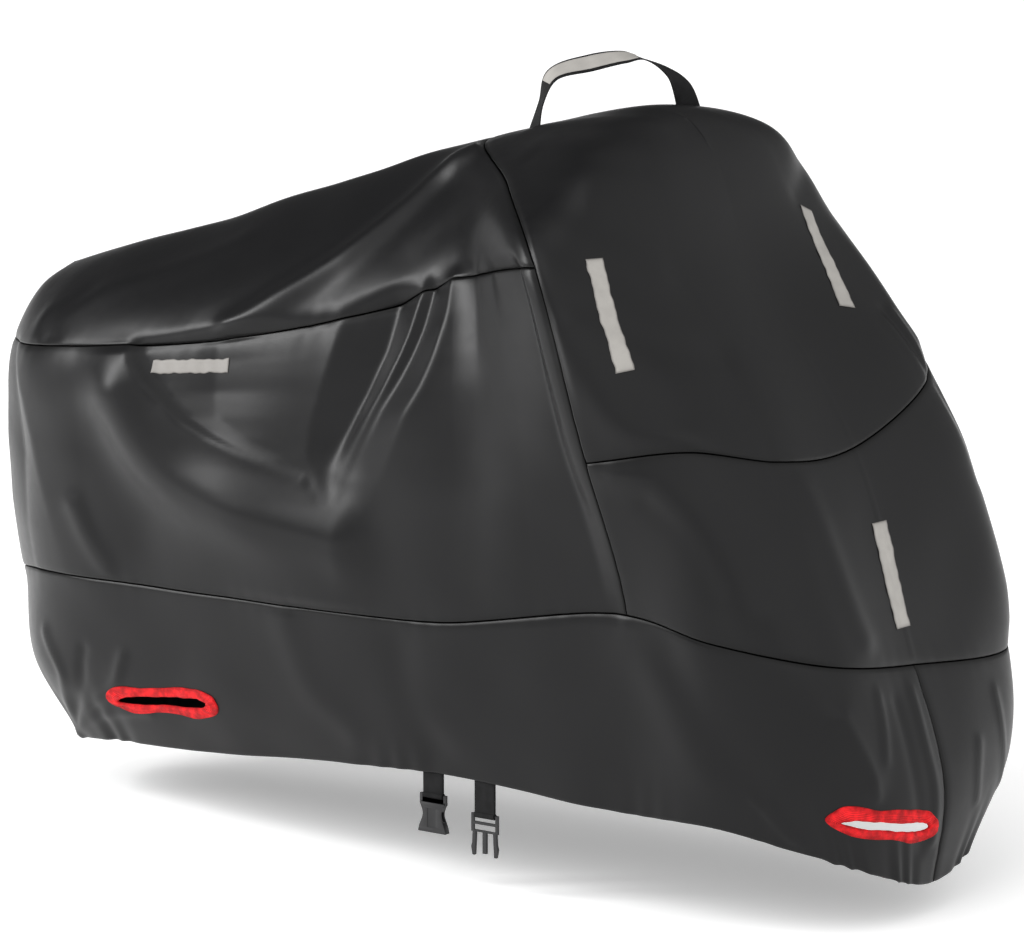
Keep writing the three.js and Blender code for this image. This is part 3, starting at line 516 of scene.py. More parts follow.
def unevenness():
    depth = np.zeros(GRID)
    for length, size in UNEVEN:
        for _ in range(3):
            depth += waves(base @ unit(chance.normal(size=3)), (length,), (size,))
    return depth


base_out = outward_of(base.reshape(-1, 3), ALL_CELLS)[ids]
seam_gaps = seam_distances()
depths = fold_depths() + crease_depths() + sewing_depths(seam_gaps) + gather_depths() + unevenness()
# The sides meet on the crown, the tail's middle and the nose's
middle_depth = (depths[RIGHT] + depths[LEFT]) / 2
for edge in (np.s_[-1, :], np.s_[:, 0], np.s_[:, -1]):
    depths[RIGHT][edge] = middle_depth[edge]
    depths[LEFT][edge] = middle_depth[edge]
cloth = (base + base_out * depths[..., None]).reshape(-1, 3)
cloth_out = outward_of(cloth, ALL_CELLS)
# Painted shade along the seams: full on the seam line and fading out a few mm from it, as shade in the
# groove
seam_painted_shade = np.exp(-(np.min([gap for _, gap, _ in seam_gaps], axis=0) / PAINTED_SEAM_SHADE_REACH) ** 2).reshape(-1)
# The cloth's flat map, for its weave: along the cover, and down from the crown on each side
spread = np.stack([
    np.broadcast_to(on_length.mean(axis=(0, 1)), GRID),
    (up_length - up_length[:, -1:, :]) * np.array([1, -1])[:, None, None],
], axis=-1).reshape(-1, 2)
ground = BVHTree.FromPolygons(cloth.tolist(), ALL_CELLS.tolist())


# Coated polyester: a plain-woven cloth with a thin polyurethane coat, so it is near black with a
# broad soft gloss, a faint weave and fine crinkles. The weave is drawn at 2.2 mm instead of 0.5 mm,
# because a finer one would not show.
WEAVE = 0.0022
CRINKLE = 0.016
PATCH = 0.2
WAVE_LENGTH = 0.31416  # at which a wave texture of scale 1 repeats


def linear(code):
    shares = [int(code[place:place + 2], 16) / 255 for place in (1, 3, 5)]
    return (*(s / 12.92 if s <= 0.04045 else ((s + 0.055) / 1.055) ** 2.4 for s in shares), 1)


def new_finish(name):
    finish = bpy.data.materials.new(name)
    finish.use_nodes = True
    finish.node_tree.nodes.clear()
    return finish


def add_node(finish, kind, sockets=None, **settings):
    made = finish.node_tree.nodes.new("ShaderNode" + kind)
    for name, value in settings.items():
        setattr(made, name, value)
    for name, value in (sockets or {}).items():
        if isinstance(value, bpy.types.NodeSocket):
            finish.node_tree.links.new(value, made.inputs[name])
        else:
            made.inputs[name].default_value = value
    return made


def add_surface(finish, sockets):
    shader = add_node(finish, "BsdfPrincipled", sockets)
    add_node(finish, "OutputMaterial", {"Surface": shader.outputs["BSDF"]})


def blend_colours(finish, factor, first, second):
    return add_node(finish, "Mix", {0: factor, 6: first, 7: second}, data_type="RGBA").outputs[2]


def noise(finish, place, scale, detail):
    return add_node(finish, "TexNoise", {"Vector": place, "Scale": scale, "Detail": detail}).outputs["Fac"]


def bumps(finish, height, strength, distance, under=None):
    sockets = {"Height": height, "Strength": strength, "Distance": distance}
    if under is not None:
        sockets["Normal"] = under
    return add_node(finish, "Bump", sockets).outputs["Normal"]


def woven_height(finish, vector, thread):
    # Threads crossing: one wave along the cloth times one across it
    along, across = (
        add_node(finish, "TexWave", {"Vector": vector, "Scale": WAVE_LENGTH / thread}, bands_direction=way)
        for way in "XY"
    )
    height = {0: along.outputs["Fac"], 1: across.outputs["Fac"]}
    return add_node(finish, "Math", height, operation="MULTIPLY").outputs[0]


def coated_polyester():
    finish = new_finish("coated polyester cloth")
    flat_map = add_node(finish, "UVMap").outputs["UV"]
    place = add_node(finish, "TexCoord").outputs["Object"]
    patches = noise(finish, place, 1 / PATCH, 4.0)
    crinkles = noise(finish, place, 1 / CRINKLE, 3.0)
    seam = add_node(finish, "Attribute", attribute_name="painted_seam_shade")
    colour = blend_colours(finish, patches, linear("#0e0e0f"), linear("#121213"))
    # Painted shade: near black on and beside the seams
    colour = blend_colours(finish, seam.outputs["Fac"], colour, linear("#060606"))
    gloss = add_node(finish, "MapRange", {"Value": crinkles, "To Min": 0.3, "To Max": 0.38}).outputs[0]
    crinkled = bumps(finish, crinkles, 0.1, 0.0004)
    woven = bumps(finish, woven_height(finish, flat_map, WEAVE), 0.12, 0.0002, under=crinkled)
    add_surface(finish, {"Base Color": colour, "Roughness": gloss, "IOR": 1.28, "Normal": woven})
    return finish


POLYESTER = coated_polyester()


# Sewn cloth panels: each is cut to its seam lines, its allowance turned in, so that the seam is a narrow
# groove between two rounded edges, darkened with painted shade. The sheet itself is 0.8 mm thick.
SHEET = 0.0008
TURNED_IN = (
    # how far back from the seam line, and how deep under the cloth
    {"back": 0.0017, "depth": 0},
    {"back": 0.0009, "depth": 0.001},
    {"back": -0.0001, "depth": 0.0045},
)


def new_piece(name, points, faces, finish, flat_map):
    mesh = bpy.data.meshes.new(name)
    mesh.from_pydata(np.asarray(points).tolist(), [], [list(face) for face in faces])
    mesh.polygons.foreach_set("use_smooth", np.ones(len(mesh.polygons), bool))
    mesh.materials.append(finish)
    corners = np.empty(len(mesh.loops), int)
    mesh.loops.foreach_get("vertex_index", corners)
    layer = mesh.uv_layers.new(name="UVMap")
    layer.data.foreach_set("uv", np.asarray(flat_map, float)[corners].reshape(-1))
    mesh.update()
    piece = bpy.data.objects.new(name, mesh)
    bpy.context.collection.objects.link(piece)
    return piece


def apply_modifier(piece, kind, **settings):
    modifier = piece.modifiers.new(kind.lower(), kind)
    for name, value in settings.items():
        setattr(modifier, name, value)
    bpy.context.view_layer.objects.active = piece
    with bpy.context.temp_override(object=piece, active_object=piece):
        bpy.ops.object.modifier_apply(modifier=modifier.name)


def dress(piece, node):
    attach(piece, "root")
    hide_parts(node)


def open_edges(quads):
    # The edges that only one of the quads has
    edges = np.concatenate([quads[:, [a, (a + 1) % 4]] for a in range(4)])
    count = len(cloth)
    return edges[~np.isin(edges[:, 0] * count + edges[:, 1], edges[:, 1] * count + edges[:, 0])]


def sewn_panel(name, quads, points=cloth):
    edges = open_edges(quads)
    begin, end = edges[:, 0], edges[:, 1]
    along = unit(points[end] - points[begin])
    back = np.zeros_like(points)
    for ends in (begin, end):
        np.add.at(back, ends, np.cross(cloth_out[ends], along))
    rim = np.unique(edges)
    back = unit(back[rim])
    used = np.unique(quads)
    number = np.full(len(points), -1)
    number[used] = np.arange(len(used))
    rows = [points[used].copy()]
    rows[0][number[rim]] = points[rim] + back * TURNED_IN[0]["back"]
    faces = number[quads].tolist()
    shades, spreads = [seam_painted_shade[used]], [spread[used]]
    previous = number
    for step in TURNED_IN[1:]:
        current = np.full(len(points), -1)
        current[rim] = sum(len(row) for row in rows) + np.arange(len(rim))
        rows.append(points[rim] + back * step["back"] - cloth_out[rim] * step["depth"])
        # The turned-in edges take the painted seam shade in full
        shades.append(np.ones(len(rim)))
        spreads.append(spread[rim])
        faces += np.stack([previous[begin], current[begin], current[end], previous[end]], -1).tolist()
        previous = current
    piece = new_piece(name, np.concatenate(rows), faces, POLYESTER, np.concatenate(spreads))
    painted_seam_shade = piece.data.attributes.new("painted_seam_shade", "FLOAT", "POINT")
    painted_seam_shade.data.foreach_set("value", np.concatenate(shades))
    apply_modifier(piece, "SOLIDIFY", thickness=SHEET, offset=-1)
    return piece


top_cloth = sewn_panel("top_cloth", cells((RIGHT, LEFT), *PANELS["top"]))
dress(top_cloth, "top_panel")
side_cloths = {}
for side in SIDES:
    side_cloths[side] = sewn_panel(f"side_cloth_{side}", cells((SIDES[side],), *PANELS["side"]))
    dress(side_cloths[side], f"side_panel_{side}")
hood_cloth = sewn_panel("hood_cloth", cells((RIGHT, LEFT), *PANELS["hood"]))
dress(hood_cloth, "hood")
front_cloth = sewn_panel("front_cloth", cells((RIGHT, LEFT), *PANELS["front"]))
dress(front_cloth, "front_panel")

# Skirts: the two long pieces under the band seam, joined at the tail and the nose, with an elastic
# in their turned hem. The right one is cut out for its two slots, and red binding covers the cuts.
SLOTS = (
    {"name": "rear", "at": (1.84, 0.68), "turn": 9,
     "binding": {"length": 0.264, "above": 0.026, "below": 0.027},
     "mouth": {"length": 0.214, "above": 0.01, "below": 0.008}},
    {"name": "front", "at": (7.4, 0.62), "turn": -11,
     "binding": {"length": 0.218, "above": 0.027, "below": 0.024},
     "mouth": {"length": 0.176, "above": 0.008, "below": 0.006}},
)
# Shares of the half length and of the height above or below, from the tail end over the top
MOUTH = (
    (-1, 0), (-0.8, 0.85), (-0.3, 1), (0.4, 1), (0.85, 0.8), (1, 0.1), (0.92, -0.7), (0.6, -1),
    (0, -0.75), (-0.6, -0.6),
)
BOUND = (
    (-1, 0.05), (-0.85, 0.96), (-0.25, 1), (0.35, 1), (0.76, 0.88), (0.98, 0.35), (0.97, -0.45),
    (0.62, -1), (0.05, -0.78), (-0.66, -0.7),
)
RING_STEPS = 160
CUT_MARGIN = 0.006
CAST = 0.12


def slot_outline(sizes, shape, margin=0.0):
    half = sizes["length"] / 2 + margin
    outline = np.array(shape) * half
    outline[:, 1] = [y * (sizes["above" if y > 0 else "below"] + margin) for _, y in shape]
    return smooth_line(outline, np.arange(RING_STEPS) * len(outline) / RING_STEPS, closed=True)


class Footing:
    # A flat frame on the cloth at a place, turned in its plane
    def __init__(self, side, place, turn=0.0):
        where = np.array(place[0]), np.array(place[1])
        self.middle = on_cloth(cloth, SIDES[side], *where)
        self.out = unit(on_cloth(cloth_out, SIDES[side], *where))
        up = unit(np.array((0, 0, 1)) - self.out[2] * self.out)
        along = np.cross(up, self.out)
        turn = math.radians(turn)
        self.along = math.cos(turn) * along + math.sin(turn) * up
        self.up = -math.sin(turn) * along + math.cos(turn) * up

    def flat(self, points):
        return np.stack([(points - self.middle) @ self.along, (points - self.middle) @ self.up], -1)

    def lay(self, places):
        # The places dropped on the cloth along the frame's own direction, with the cloth's normals
        found = []
        for x, y in places:
            begin = Vector(self.middle + x * self.along + y * self.up + CAST * self.out)
            hit, normal, _, _ = ground.ray_cast(begin, Vector(-self.out), 2 * CAST)
            if hit is None:
                hit, normal, _, _ = ground.find_nearest(begin - Vector(CAST * self.out))
            found.append((tuple(hit), tuple(normal)))
        points, normals = np.array(found).transpose(1, 0, 2)
        return points, np.where((normals @ self.out)[:, None] < 0, -normals, normals)


def inside(points, outline):
    # By the outline's crossings with a line to one side of each point
    x, y = points[:, 0:1], points[:, 1:2]
    x0, y0 = outline[:, 0], outline[:, 1]
    x1, y1 = np.roll(x0, -1), np.roll(y0, -1)
    rising = (y0 <= y) != (y1 <= y)
    at = x0 + (y - y0) * (x1 - x0) / np.where(y1 == y0, 1e-9, y1 - y0)
    return np.sum(rising & (x < at), axis=1) % 2 == 1


def cut_slots(quads):
    # Takes out the cells in each mouth, and puts the rim of the cut under the binding
    points = cloth.copy()
    for slot in SLOTS:
        footing = Footing("right", slot["at"], slot["turn"])
        outline = slot_outline(slot["mouth"], MOUTH, CUT_MARGIN)
        centres = points[quads].mean(axis=1)
        gone = inside(footing.flat(centres), outline)
        gone &= np.linalg.norm(centres - footing.middle, axis=1) < slot["binding"]["length"]
        rim = np.intersect1d(quads[gone], quads[~gone])
        flat = footing.flat(points[rim])
        nearest = np.argmin(np.linalg.norm(flat[:, None] - outline[None], axis=2), axis=1)
        points[rim], _ = footing.lay(outline[nearest])
        quads = quads[~gone]
    return quads, points


skirts = {
    "right": sewn_panel("skirt_cloth_right", *cut_slots(cells((RIGHT,), *PANELS["skirt"]))),
    "left": sewn_panel("skirt_cloth_left", cells((LEFT,), *PANELS["skirt"])),
}
for side in SIDES:
    dress(skirts[side], f"skirt_{side}")


# Slot bindings: red ribbed polyester webbing, folded in half round the cut edge and sewn through,
# so it is puffed at the mouth and flat at its stitching, with short end pieces lapped over the long
# ones.
RIB = 0.0021
WEFT = 0.8 * RIB
BINDING_SECTION = (
    # share of the way from the mouth to the outer edge, and height over the cloth in mm
    (0.02, -1.2), (-0.03, 0.6), (0.0, 2.4), (0.1, 3.6), (0.26, 3.9), (0.45, 3.3), (0.62, 2.7),
    (0.76, 2.1), (0.82, 1.7), (0.9, 1.9), (0.97, 1.6), (1.0, 0.7), (1.0, -0.4), (0.8, -2.0),
    (0.4, -2.6),
)
LAP = 0.84  # share of the half length past which the end pieces lie over the long ones
LAP_RISE = 0.0011
# Waves of the binding: lengths and sizes, those of the crimp in metres and the others in shares of
# the way round
OUTER_WAVES = ((1 / 3, 1 / 7, 1 / 12), (0.5, 0.4, 0.3))
MOUTH_WAVES = ((1 / 4, 1 / 9, 1 / 21), (0.4, 0.4, 0.3))
PUFF_WAVES = ((1 / 5, 1 / 11, 1 / 17), (0.16, 0.12, 0.1))
CRIMP_WAVES = ((0.0062, 0.0091, 0.0137), (0.3, 0.3, 0.25))
OUTER_SWAY = 0.0014
MOUTH_SWAY = 0.0011
CRIMP = {"ends": 0.0009, "long": 0.0005}
SECTION_STEP = 0.003


def ribbed_webbing(name, dark, light, roughness, strength):
    # Ribs run the length of the webbing, with a fine weft across them
    finish = new_finish(name)
    flat_map = add_node(finish, "UVMap").outputs["UV"]
    place = add_node(finish, "TexCoord").outputs["Object"]
    ribs = add_node(finish, "TexWave", {
        "Vector": flat_map, "Scale": WAVE_LENGTH / RIB, "Distortion": 0.6, "Detail": 1.0,
    }, bands_direction="Y")
    weft = add_node(finish, "TexWave", {
        "Vector": flat_map, "Scale": WAVE_LENGTH / WEFT, "Distortion": 1.0,
    }, bands_direction="X")
    # Painted shade and highlights: the colour is darker in the rib hollows and lighter on the crests and in
    # chance patches
    highlight_mottle = noise(finish, place, 70.0, 4.0)
    shade = add_node(finish, "Math", {0: ribs.outputs["Fac"], 1: 0.25, 2: highlight_mottle}, operation="MULTIPLY_ADD")
    level = add_node(finish, "MapRange", {"Value": shade.outputs[0], "From Min": 0.45, "From Max": 0.8})
    height = add_node(finish, "Math", {0: weft.outputs["Fac"], 1: 0.35, 2: ribs.outputs["Fac"]},
                      operation="MULTIPLY_ADD")
    ribbed = bumps(finish, height.outputs[0], strength, 0.0006)
    colour = blend_colours(finish, level.outputs[0], linear(dark), linear(light))
    add_surface(finish, {"Base Color": colour, "Roughness": roughness, "IOR": 1.3, "Normal": ribbed})
    return finish


RED_WEBBING = ribbed_webbing("red ribbed webbing", "#8e0209", "#ea1d22", 0.65, 0.8)


def tube_faces(rings, around, closed=False):
    # Quads between rings of points, which close on the first ring or end in caps
    faces = []
    for ring in range(rings if closed else rings - 1):
        this, following = ring * around, (ring + 1) % rings * around
        for step in range(around):
            beside = (step + 1) % around
            faces.append((this + step, this + beside, following + beside, following + step))
    if not closed:
        faces.append(tuple(range(around))[::-1])
        faces.append(tuple(range((rings - 1) * around, rings * around)))
    return faces


def face_outwards(piece):
    mesh = bmesh.new()
    mesh.from_mesh(piece.data)
    bmesh.ops.recalc_face_normals(mesh, faces=mesh.faces)
    mesh.to_mesh(piece.data)
    mesh.free()


def slot_binding(slot):
    footing = Footing("right", slot["at"], slot["turn"])
    mouth = slot_outline(slot["mouth"], MOUTH)
    outer = slot_outline(slot["binding"], BOUND)
    turns = np.arange(RING_STEPS) / RING_STEPS
    around = np.linalg.norm(np.roll(outer, -1, axis=0) - outer, axis=1).cumsum()
    outward = unit(outer - mouth)
    outer = outer + outward * waves(turns, *OUTER_WAVES)[:, None] * OUTER_SWAY
    mouth = mouth + outward * waves(turns, *MOUTH_WAVES)[:, None] * MOUTH_SWAY
    ends = np.abs(mouth[:, 0]) > LAP * slot["mouth"]["length"] / 2
    puff = 1 + waves(turns, *PUFF_WAVES)
    crimp = waves(around, *CRIMP_WAVES) * np.where(ends, CRIMP["ends"], CRIMP["long"])
    points, flat_map = [], []
    for place, (share, height_mm) in enumerate(BINDING_SECTION):
        laid, normals = footing.lay(mouth + share * (outer - mouth))
        height = height_mm / 1000 * (puff if height_mm > 0 else 1)
        rise = np.where(ends, LAP_RISE, 0) + crimp if height_mm > 1 else 0
        points.append(laid + normals * np.broadcast_to(height + rise, RING_STEPS)[:, None])
        flat_map.append(np.stack([around, np.full(RING_STEPS, SECTION_STEP * place)], -1))
    points = np.stack(points, axis=1).reshape(-1, 3)
    flat_map = np.stack(flat_map, axis=1).reshape(-1, 2)
    faces = tube_faces(RING_STEPS, len(BINDING_SECTION), closed=True)
    piece = new_piece(f"{slot['name']}_binding", points, faces, RED_WEBBING, flat_map)
    face_outwards(piece)
    apply_modifier(piece, "SUBSURF", levels=1, render_levels=1)
    dress(piece, f"{slot['name']}_slot_binding")
    return piece


bindings = [slot_binding(slot) for slot in SLOTS]

# Reflective strips: glass-beaded silver tape on a cloth back, cut by hand to short lengths and sewn
# to the panels all round, so their edges wander a little and lie a little high between stitches.
# The side strips' tape is greyed all over as painted shade, by the share given with each
STRIPS = (
    {"name": "side_strip_right", "side": "right", "at": (2.09, 3.77), "length": 0.154, "width": 0.022,
     "turn": 6, "bend": 0, "painted_shade_share": 0.6},
    {"name": "side_strip_left", "side": "left", "at": (2.09, 3.77), "length": 0.154, "width": 0.022,
     "turn": -6, "bend": 0, "painted_shade_share": 0.6},
    {"name": "hood_strip_right", "side": "right", "at": (5.82, 3.73), "length": 0.18, "width": 0.027,
     "turn": 96, "bend": 0.004},
    {"name": "hood_strip_left", "side": "left", "at": (7.03, 3.82), "length": 0.19, "width": 0.03,
     "turn": 70, "bend": -0.004},
    {"name": "front_strip", "side": "right", "at": (7.98, 2.43), "length": 0.162, "width": 0.039,
     "turn": 90, "bend": 0.003},
)
TAPE = 0.0006
TAPE_STEPS = (60, 10)
TAPE_LIFT = 0.0004
# Waves of the edges, the width and the height: lengths and sizes
EDGE_WAVES = ((0.5, 0.23), (0.0005, 0.0004))
WIDTH_WAVES = ((0.8, 0.31), (0.0004, 0.0003))
LIFT_WAVES = ((0.03, 0.047), (0.0002, 0.0002))
END_SKEW = 0.0016
BEAD = 0.0011


def beaded_tape():
    finish = new_finish("reflective tape")
    flat_map = add_node(finish, "UVMap").outputs["UV"]
    place = add_node(finish, "TexCoord").outputs["Object"]
    beads = add_node(finish, "TexVoronoi", {"Vector": flat_map, "Scale": 1 / BEAD})
    cloudy = noise(finish, place, 45.0, 3.0)
    edge = add_node(finish, "Attribute", attribute_name="edge_and_painted_shade")
    colour = blend_colours(finish, cloudy, linear("#8f8c88"), linear("#a5a29d"))
    # Darker towards the tape's edges, and greyed all over on the side strips as painted shade
    colour = blend_colours(finish, edge.outputs["Fac"], colour, linear("#6a6764"))
    beaded = bumps(finish, beads.outputs["Distance"], 0.25, 0.0003)
    add_surface(finish, {"Base Color": colour, "Roughness": 0.5, "IOR": 1.4, "Normal": beaded})
    return finish


BEADED_TAPE = beaded_tape()


def shade_edges_and_paint_shade(piece, shades):
    layer = piece.data.attributes.new("edge_and_painted_shade", "FLOAT", "POINT")
    layer.data.foreach_set("value", np.asarray(shades, float))


def reflective_strip(strip):
    footing = Footing(strip["side"], strip["at"], strip["turn"])
    length, width = strip["length"], strip["width"]
    long_steps, wide_steps = TAPE_STEPS
    along = np.linspace(-1, 1, long_steps + 1)
    across = np.linspace(-1, 1, wide_steps + 1)
    x = np.repeat(along[:, None] * length / 2, wide_steps + 1, axis=1)
    y = np.repeat(across[None, :] * width / 2, long_steps + 1, axis=0)
    y = y + strip["bend"] * (1 - np.abs(along))[:, None]
    y = y + waves(along, *EDGE_WAVES)[:, None] + across[None, :] * waves(along, *WIDTH_WAVES)[:, None]
    x = x + np.abs(along[:, None]) ** 20 * across[None, :] * END_SKEW * chance.uniform(-1, 1)
    laid, normals = footing.lay(np.stack([x, y], -1).reshape(-1, 2))
    rim = np.maximum(np.abs(along)[:, None] ** 40, np.abs(across)[None, :] ** 12)
    height = TAPE + TAPE_LIFT + TAPE_LIFT * (1 - rim) + waves(x, *LIFT_WAVES)
    points = laid + normals * height.reshape(-1, 1)
    numbers = np.arange(len(points)).reshape(-1, wide_steps + 1)
    quads = np.stack([numbers[:-1, :-1], numbers[1:, :-1], numbers[1:, 1:], numbers[:-1, 1:]], -1)
    flat_map = np.stack([x, y], -1).reshape(-1, 2)
    piece = new_piece(f"{strip['name']}_tape", points, quads.reshape(-1, 4), BEADED_TAPE, flat_map)
    # The edges darken, and the side strips are greyed all over as painted shade
    shade_edges_and_paint_shade(piece, np.maximum(rim, strip.get("painted_shade_share", 0)).reshape(-1))
    apply_modifier(piece, "SOLIDIFY", thickness=TAPE, offset=-1)
    dress(piece, strip["name"])
    return piece


strips = {strip["name"]: reflective_strip(strip) for strip in STRIPS}

# Carrying handle: a strap of black polyester webbing that arches over the hood's top and twists
# between its feet, which are sewn through the hood. A silver reflective tape is sewn along its rise.
HANDLE_WIDTH = 0.038
HANDLE_SPAN = (0.02, 0.98)
WEBBING = 0.002
FEET = ((0.75, -0.034), (0.93, 0.132))
HANDLE_PATH = (
    {"share": 0, "up": -0.014, "roll": 20}, {"share": 0.05, "up": 0.036, "roll": 2},
    {"share": 0.12, "up": 0.076, "roll": 24}, {"share": 0.36, "up": 0.087, "roll": 38},
    {"share": 0.58, "up": 0.089, "roll": 24}, {"share": 0.7, "up": 0.082, "roll": -2},
    {"share": 0.86, "up": 0.056, "roll": 20}, {"share": 0.95, "up": 0.026, "roll": 62},
    {"share": 1, "up": -0.014, "roll": 88},
)
HANDLE_TAPE = {"width": 0.028, "span": (0.21, 0.58), "under": 0.0002, "over": 0.0013}
HANDLE_STEPS = 96
ROLL_PER_KNOT = 30  # degrees that weigh as much as the step from knot to knot
STRAP_SPOTS = 9
BLACK_WEBBING = ribbed_webbing("black webbing", "#060607", "#161617", 0.75, 0.7)


def hood_top(x, y):
    begin = Vector((x - ORIGIN[0], y - ORIGIN[1], 1))
    hit, _, _, _ = ground.ray_cast(begin, Vector((0, 0, -1)))
    return np.array(hit)


def handle_course(first, last):
    # The strap's centres between two shares of its path, and the ways across it and out of it
    start, end = (hood_top(*foot) for foot in FEET)
    knots = np.array([start + row["share"] * (end - start) + (0, 0, row["up"]) for row in HANDLE_PATH])
    rolls = np.array([(index, row["roll"] / ROLL_PER_KNOT) for index, row in enumerate(HANDLE_PATH)])
    places = np.linspace(first, last, HANDLE_STEPS + 1) * (len(knots) - 1)
    step = 1e-3
    ahead = smooth_line(knots, np.minimum(places + step, len(knots) - 1))
    heading = unit(ahead - smooth_line(knots, np.maximum(places - step, 0)))
    roll = np.radians(smooth_line(rolls, places)[:, 1] * ROLL_PER_KNOT)[:, None]
    flat = np.array((end[1] - start[1], start[0] - end[0], 0)) / math.hypot(*(end - start)[:2])
    across = unit(np.cross(heading, flat)) * np.sin(roll) + flat * np.cos(roll)
    return smooth_line(knots, places), across, np.cross(across, heading)


def strap_mesh(name, course, width, inner, outer, finish):
    # A flat strap with rounded edges, between two heights over its course
    centres, across, outward = course
    half, middle, bulge = width / 2, (inner + outer) / 2, (outer - inner) / 2
    spots = np.linspace(-1, 1, STRAP_SPOTS) * (half - bulge)
    ring = [(spot, outer) for spot in spots] + [(half, middle)]
    ring += [(spot, inner) for spot in spots[::-1]] + [(-half, middle)]
    points = np.stack([centres + across * spot + outward * height for spot, height in ring], axis=1)
    run = np.concatenate([[0], np.linalg.norm(np.diff(centres, axis=0), axis=1).cumsum()])
    flat_map = np.stack([np.stack([run, np.full(len(run), spot)], -1) for spot, _ in ring], axis=1)
    piece = new_piece(name, points.reshape(-1, 3), tube_faces(len(centres), len(ring)), finish,
                      flat_map.reshape(-1, 2))
    face_outwards(piece)
    return piece


handle = strap_mesh("handle_webbing", handle_course(*HANDLE_SPAN), HANDLE_WIDTH,
                    -WEBBING / 2, WEBBING / 2, BLACK_WEBBING)
dress(handle, "handle")
handle_tape = strap_mesh("handle_tape", handle_course(*HANDLE_TAPE["span"]), HANDLE_TAPE["width"],
                         WEBBING / 2 + HANDLE_TAPE["under"], WEBBING / 2 + HANDLE_TAPE["over"], BEADED_TAPE)
shade_edges_and_paint_shade(handle_tape, np.zeros(len(handle_tape.data.vertices)))
dress(handle_tape, "handle_strip")

# Under-belt ends: black webbing sewn inside the right hem, each looped round the bar of its half
# of a side-release buckle and sewn back on itself.
BELTS = (
    {"name": "socket", "station": 3.82, "drop": 0.036},
    {"name": "plug", "station": 4.2, "drop": 0.052},
)
BELT = {"width": 0.038, "thick": 0.0018, "rise": 0.028, "apart": 0.0024, "inside": 0.0043,
        "over_eye": 0.002, "play": 0.0013}
BELT_STEPS = 8
BUCKLE = {"width": 0.05, "thick": 0.004, "rim": 0.005, "bar": 0.004, "slot": 0.009, "foot": 0.003}
EYE = math.hypot(BUCKLE["bar"], BUCKLE["thick"]) / 2 + BELT["play"]
EYE_STEPS = 24


def belt_anchor(belt):
    hem = on_cloth(cloth, RIGHT, np.array(belt["station"]), np.array(HEM))
    return Vector((hem[0], hem[1] + BELT["inside"], hem[2]))


def belt_course(belt):
    # Down the outer layer, round the bar and up the inner one
    half = BELT["apart"] / 2
    neck = math.asin(half / EYE)
    angles = np.linspace(math.pi / 2 + neck, math.pi / 2 - neck + 2 * math.pi, EYE_STEPS)
    loop = np.stack([EYE * np.cos(angles), EYE * np.sin(angles) - belt["drop"]], -1)
    rise = np.linspace(BELT["rise"], BELT["over_eye"] - belt["drop"] + EYE, BELT_STEPS)
    outer = np.stack([np.full(BELT_STEPS, -half), rise], -1)
    inner = np.stack([np.full(BELT_STEPS, half), rise[::-1]], -1)
    line = np.concatenate([outer, loop, inner])
    centres = np.array(belt_anchor(belt)) + np.insert(line, 0, 0, axis=1)
    heading = unit(np.gradient(centres, axis=0))
    across = np.broadcast_to((1.0, 0, 0), centres.shape)
    return centres, across, np.cross(across, heading)


for belt in BELTS:
    strap = strap_mesh(f"{belt['name']}_belt", belt_course(belt), BELT["width"],
                       -BELT["thick"] / 2, BELT["thick"] / 2, BLACK_WEBBING)
    dress(strap, f"{belt['name']}_strap")

# Buckle halves: moulded black acetal, satin with slightly rounded edges. Each has a bar frame for
# its belt; the socket is a waisted hollow body, the plug has two sprung prongs and a guide.
SOCKET = {"length": 0.044, "inset": 0.002, "waist": 0.034, "flare": 0.052, "thick": 0.011,
          "mouth": 0.04, "deep": 0.034, "hollow": 0.006, "recess": (0.016, 0.0016, 0.03),
          "recess_up": 0.023, "clear": 0.001, "edge": 0.0007, "flare_up": 0.2, "waist_down": 0.35}
PLUG = {"length": 0.037, "root": 0.002, "lean": 0.002, "prong": 0.008, "guide": 0.007,
        "shorter": 0.004, "slimmer": 0.002, "thick": 0.005, "catch": 0.0015,
        "catch_at": (0.6, 0.75), "tip": 0.95, "edge": 0.0006}
SOCKET_ROWS = 14
PROFILE_STEPS = 30
PRONG_ROWS = 6
EDGE_ANGLE = 0.6
SMOOTH_ANGLE = 0.7


def moulded_acetal():
    finish = new_finish("black acetal")
    place = add_node(finish, "TexCoord").outputs["Object"]
    grain = noise(finish, place, 900.0, 2.0)
    wear = noise(finish, place, 60.0, 3.0)
    grained = bumps(finish, grain, 0.15, 0.0002)
    colour = blend_colours(finish, wear, linear("#131314"), linear("#1c1c1e"))
    gloss = add_node(finish, "MapRange", {"Value": wear, "To Min": 0.28, "To Max": 0.42}).outputs[0]
    add_surface(finish, {"Base Color": colour, "Roughness": gloss, "IOR": 1.48, "Normal": grained})
    return finish


ACETAL = moulded_acetal()


def block(name, centre, size):
    bpy.ops.object.select_all(action="DESELECT")
    bpy.ops.mesh.primitive_cube_add(size=1, location=centre)
    piece = bpy.context.active_object
    piece.name = name
    piece.scale = size
    bpy.ops.object.transform_apply(location=True, rotation=False, scale=True)
    return piece


def combine(piece, operation, other):
    apply_modifier(piece, "BOOLEAN", operation=operation, object=other, solver="EXACT")
    bpy.data.objects.remove(other)


def select_only(piece):
    bpy.ops.object.select_all(action="DESELECT")
    piece.select_set(True)
    bpy.context.view_layer.objects.active = piece


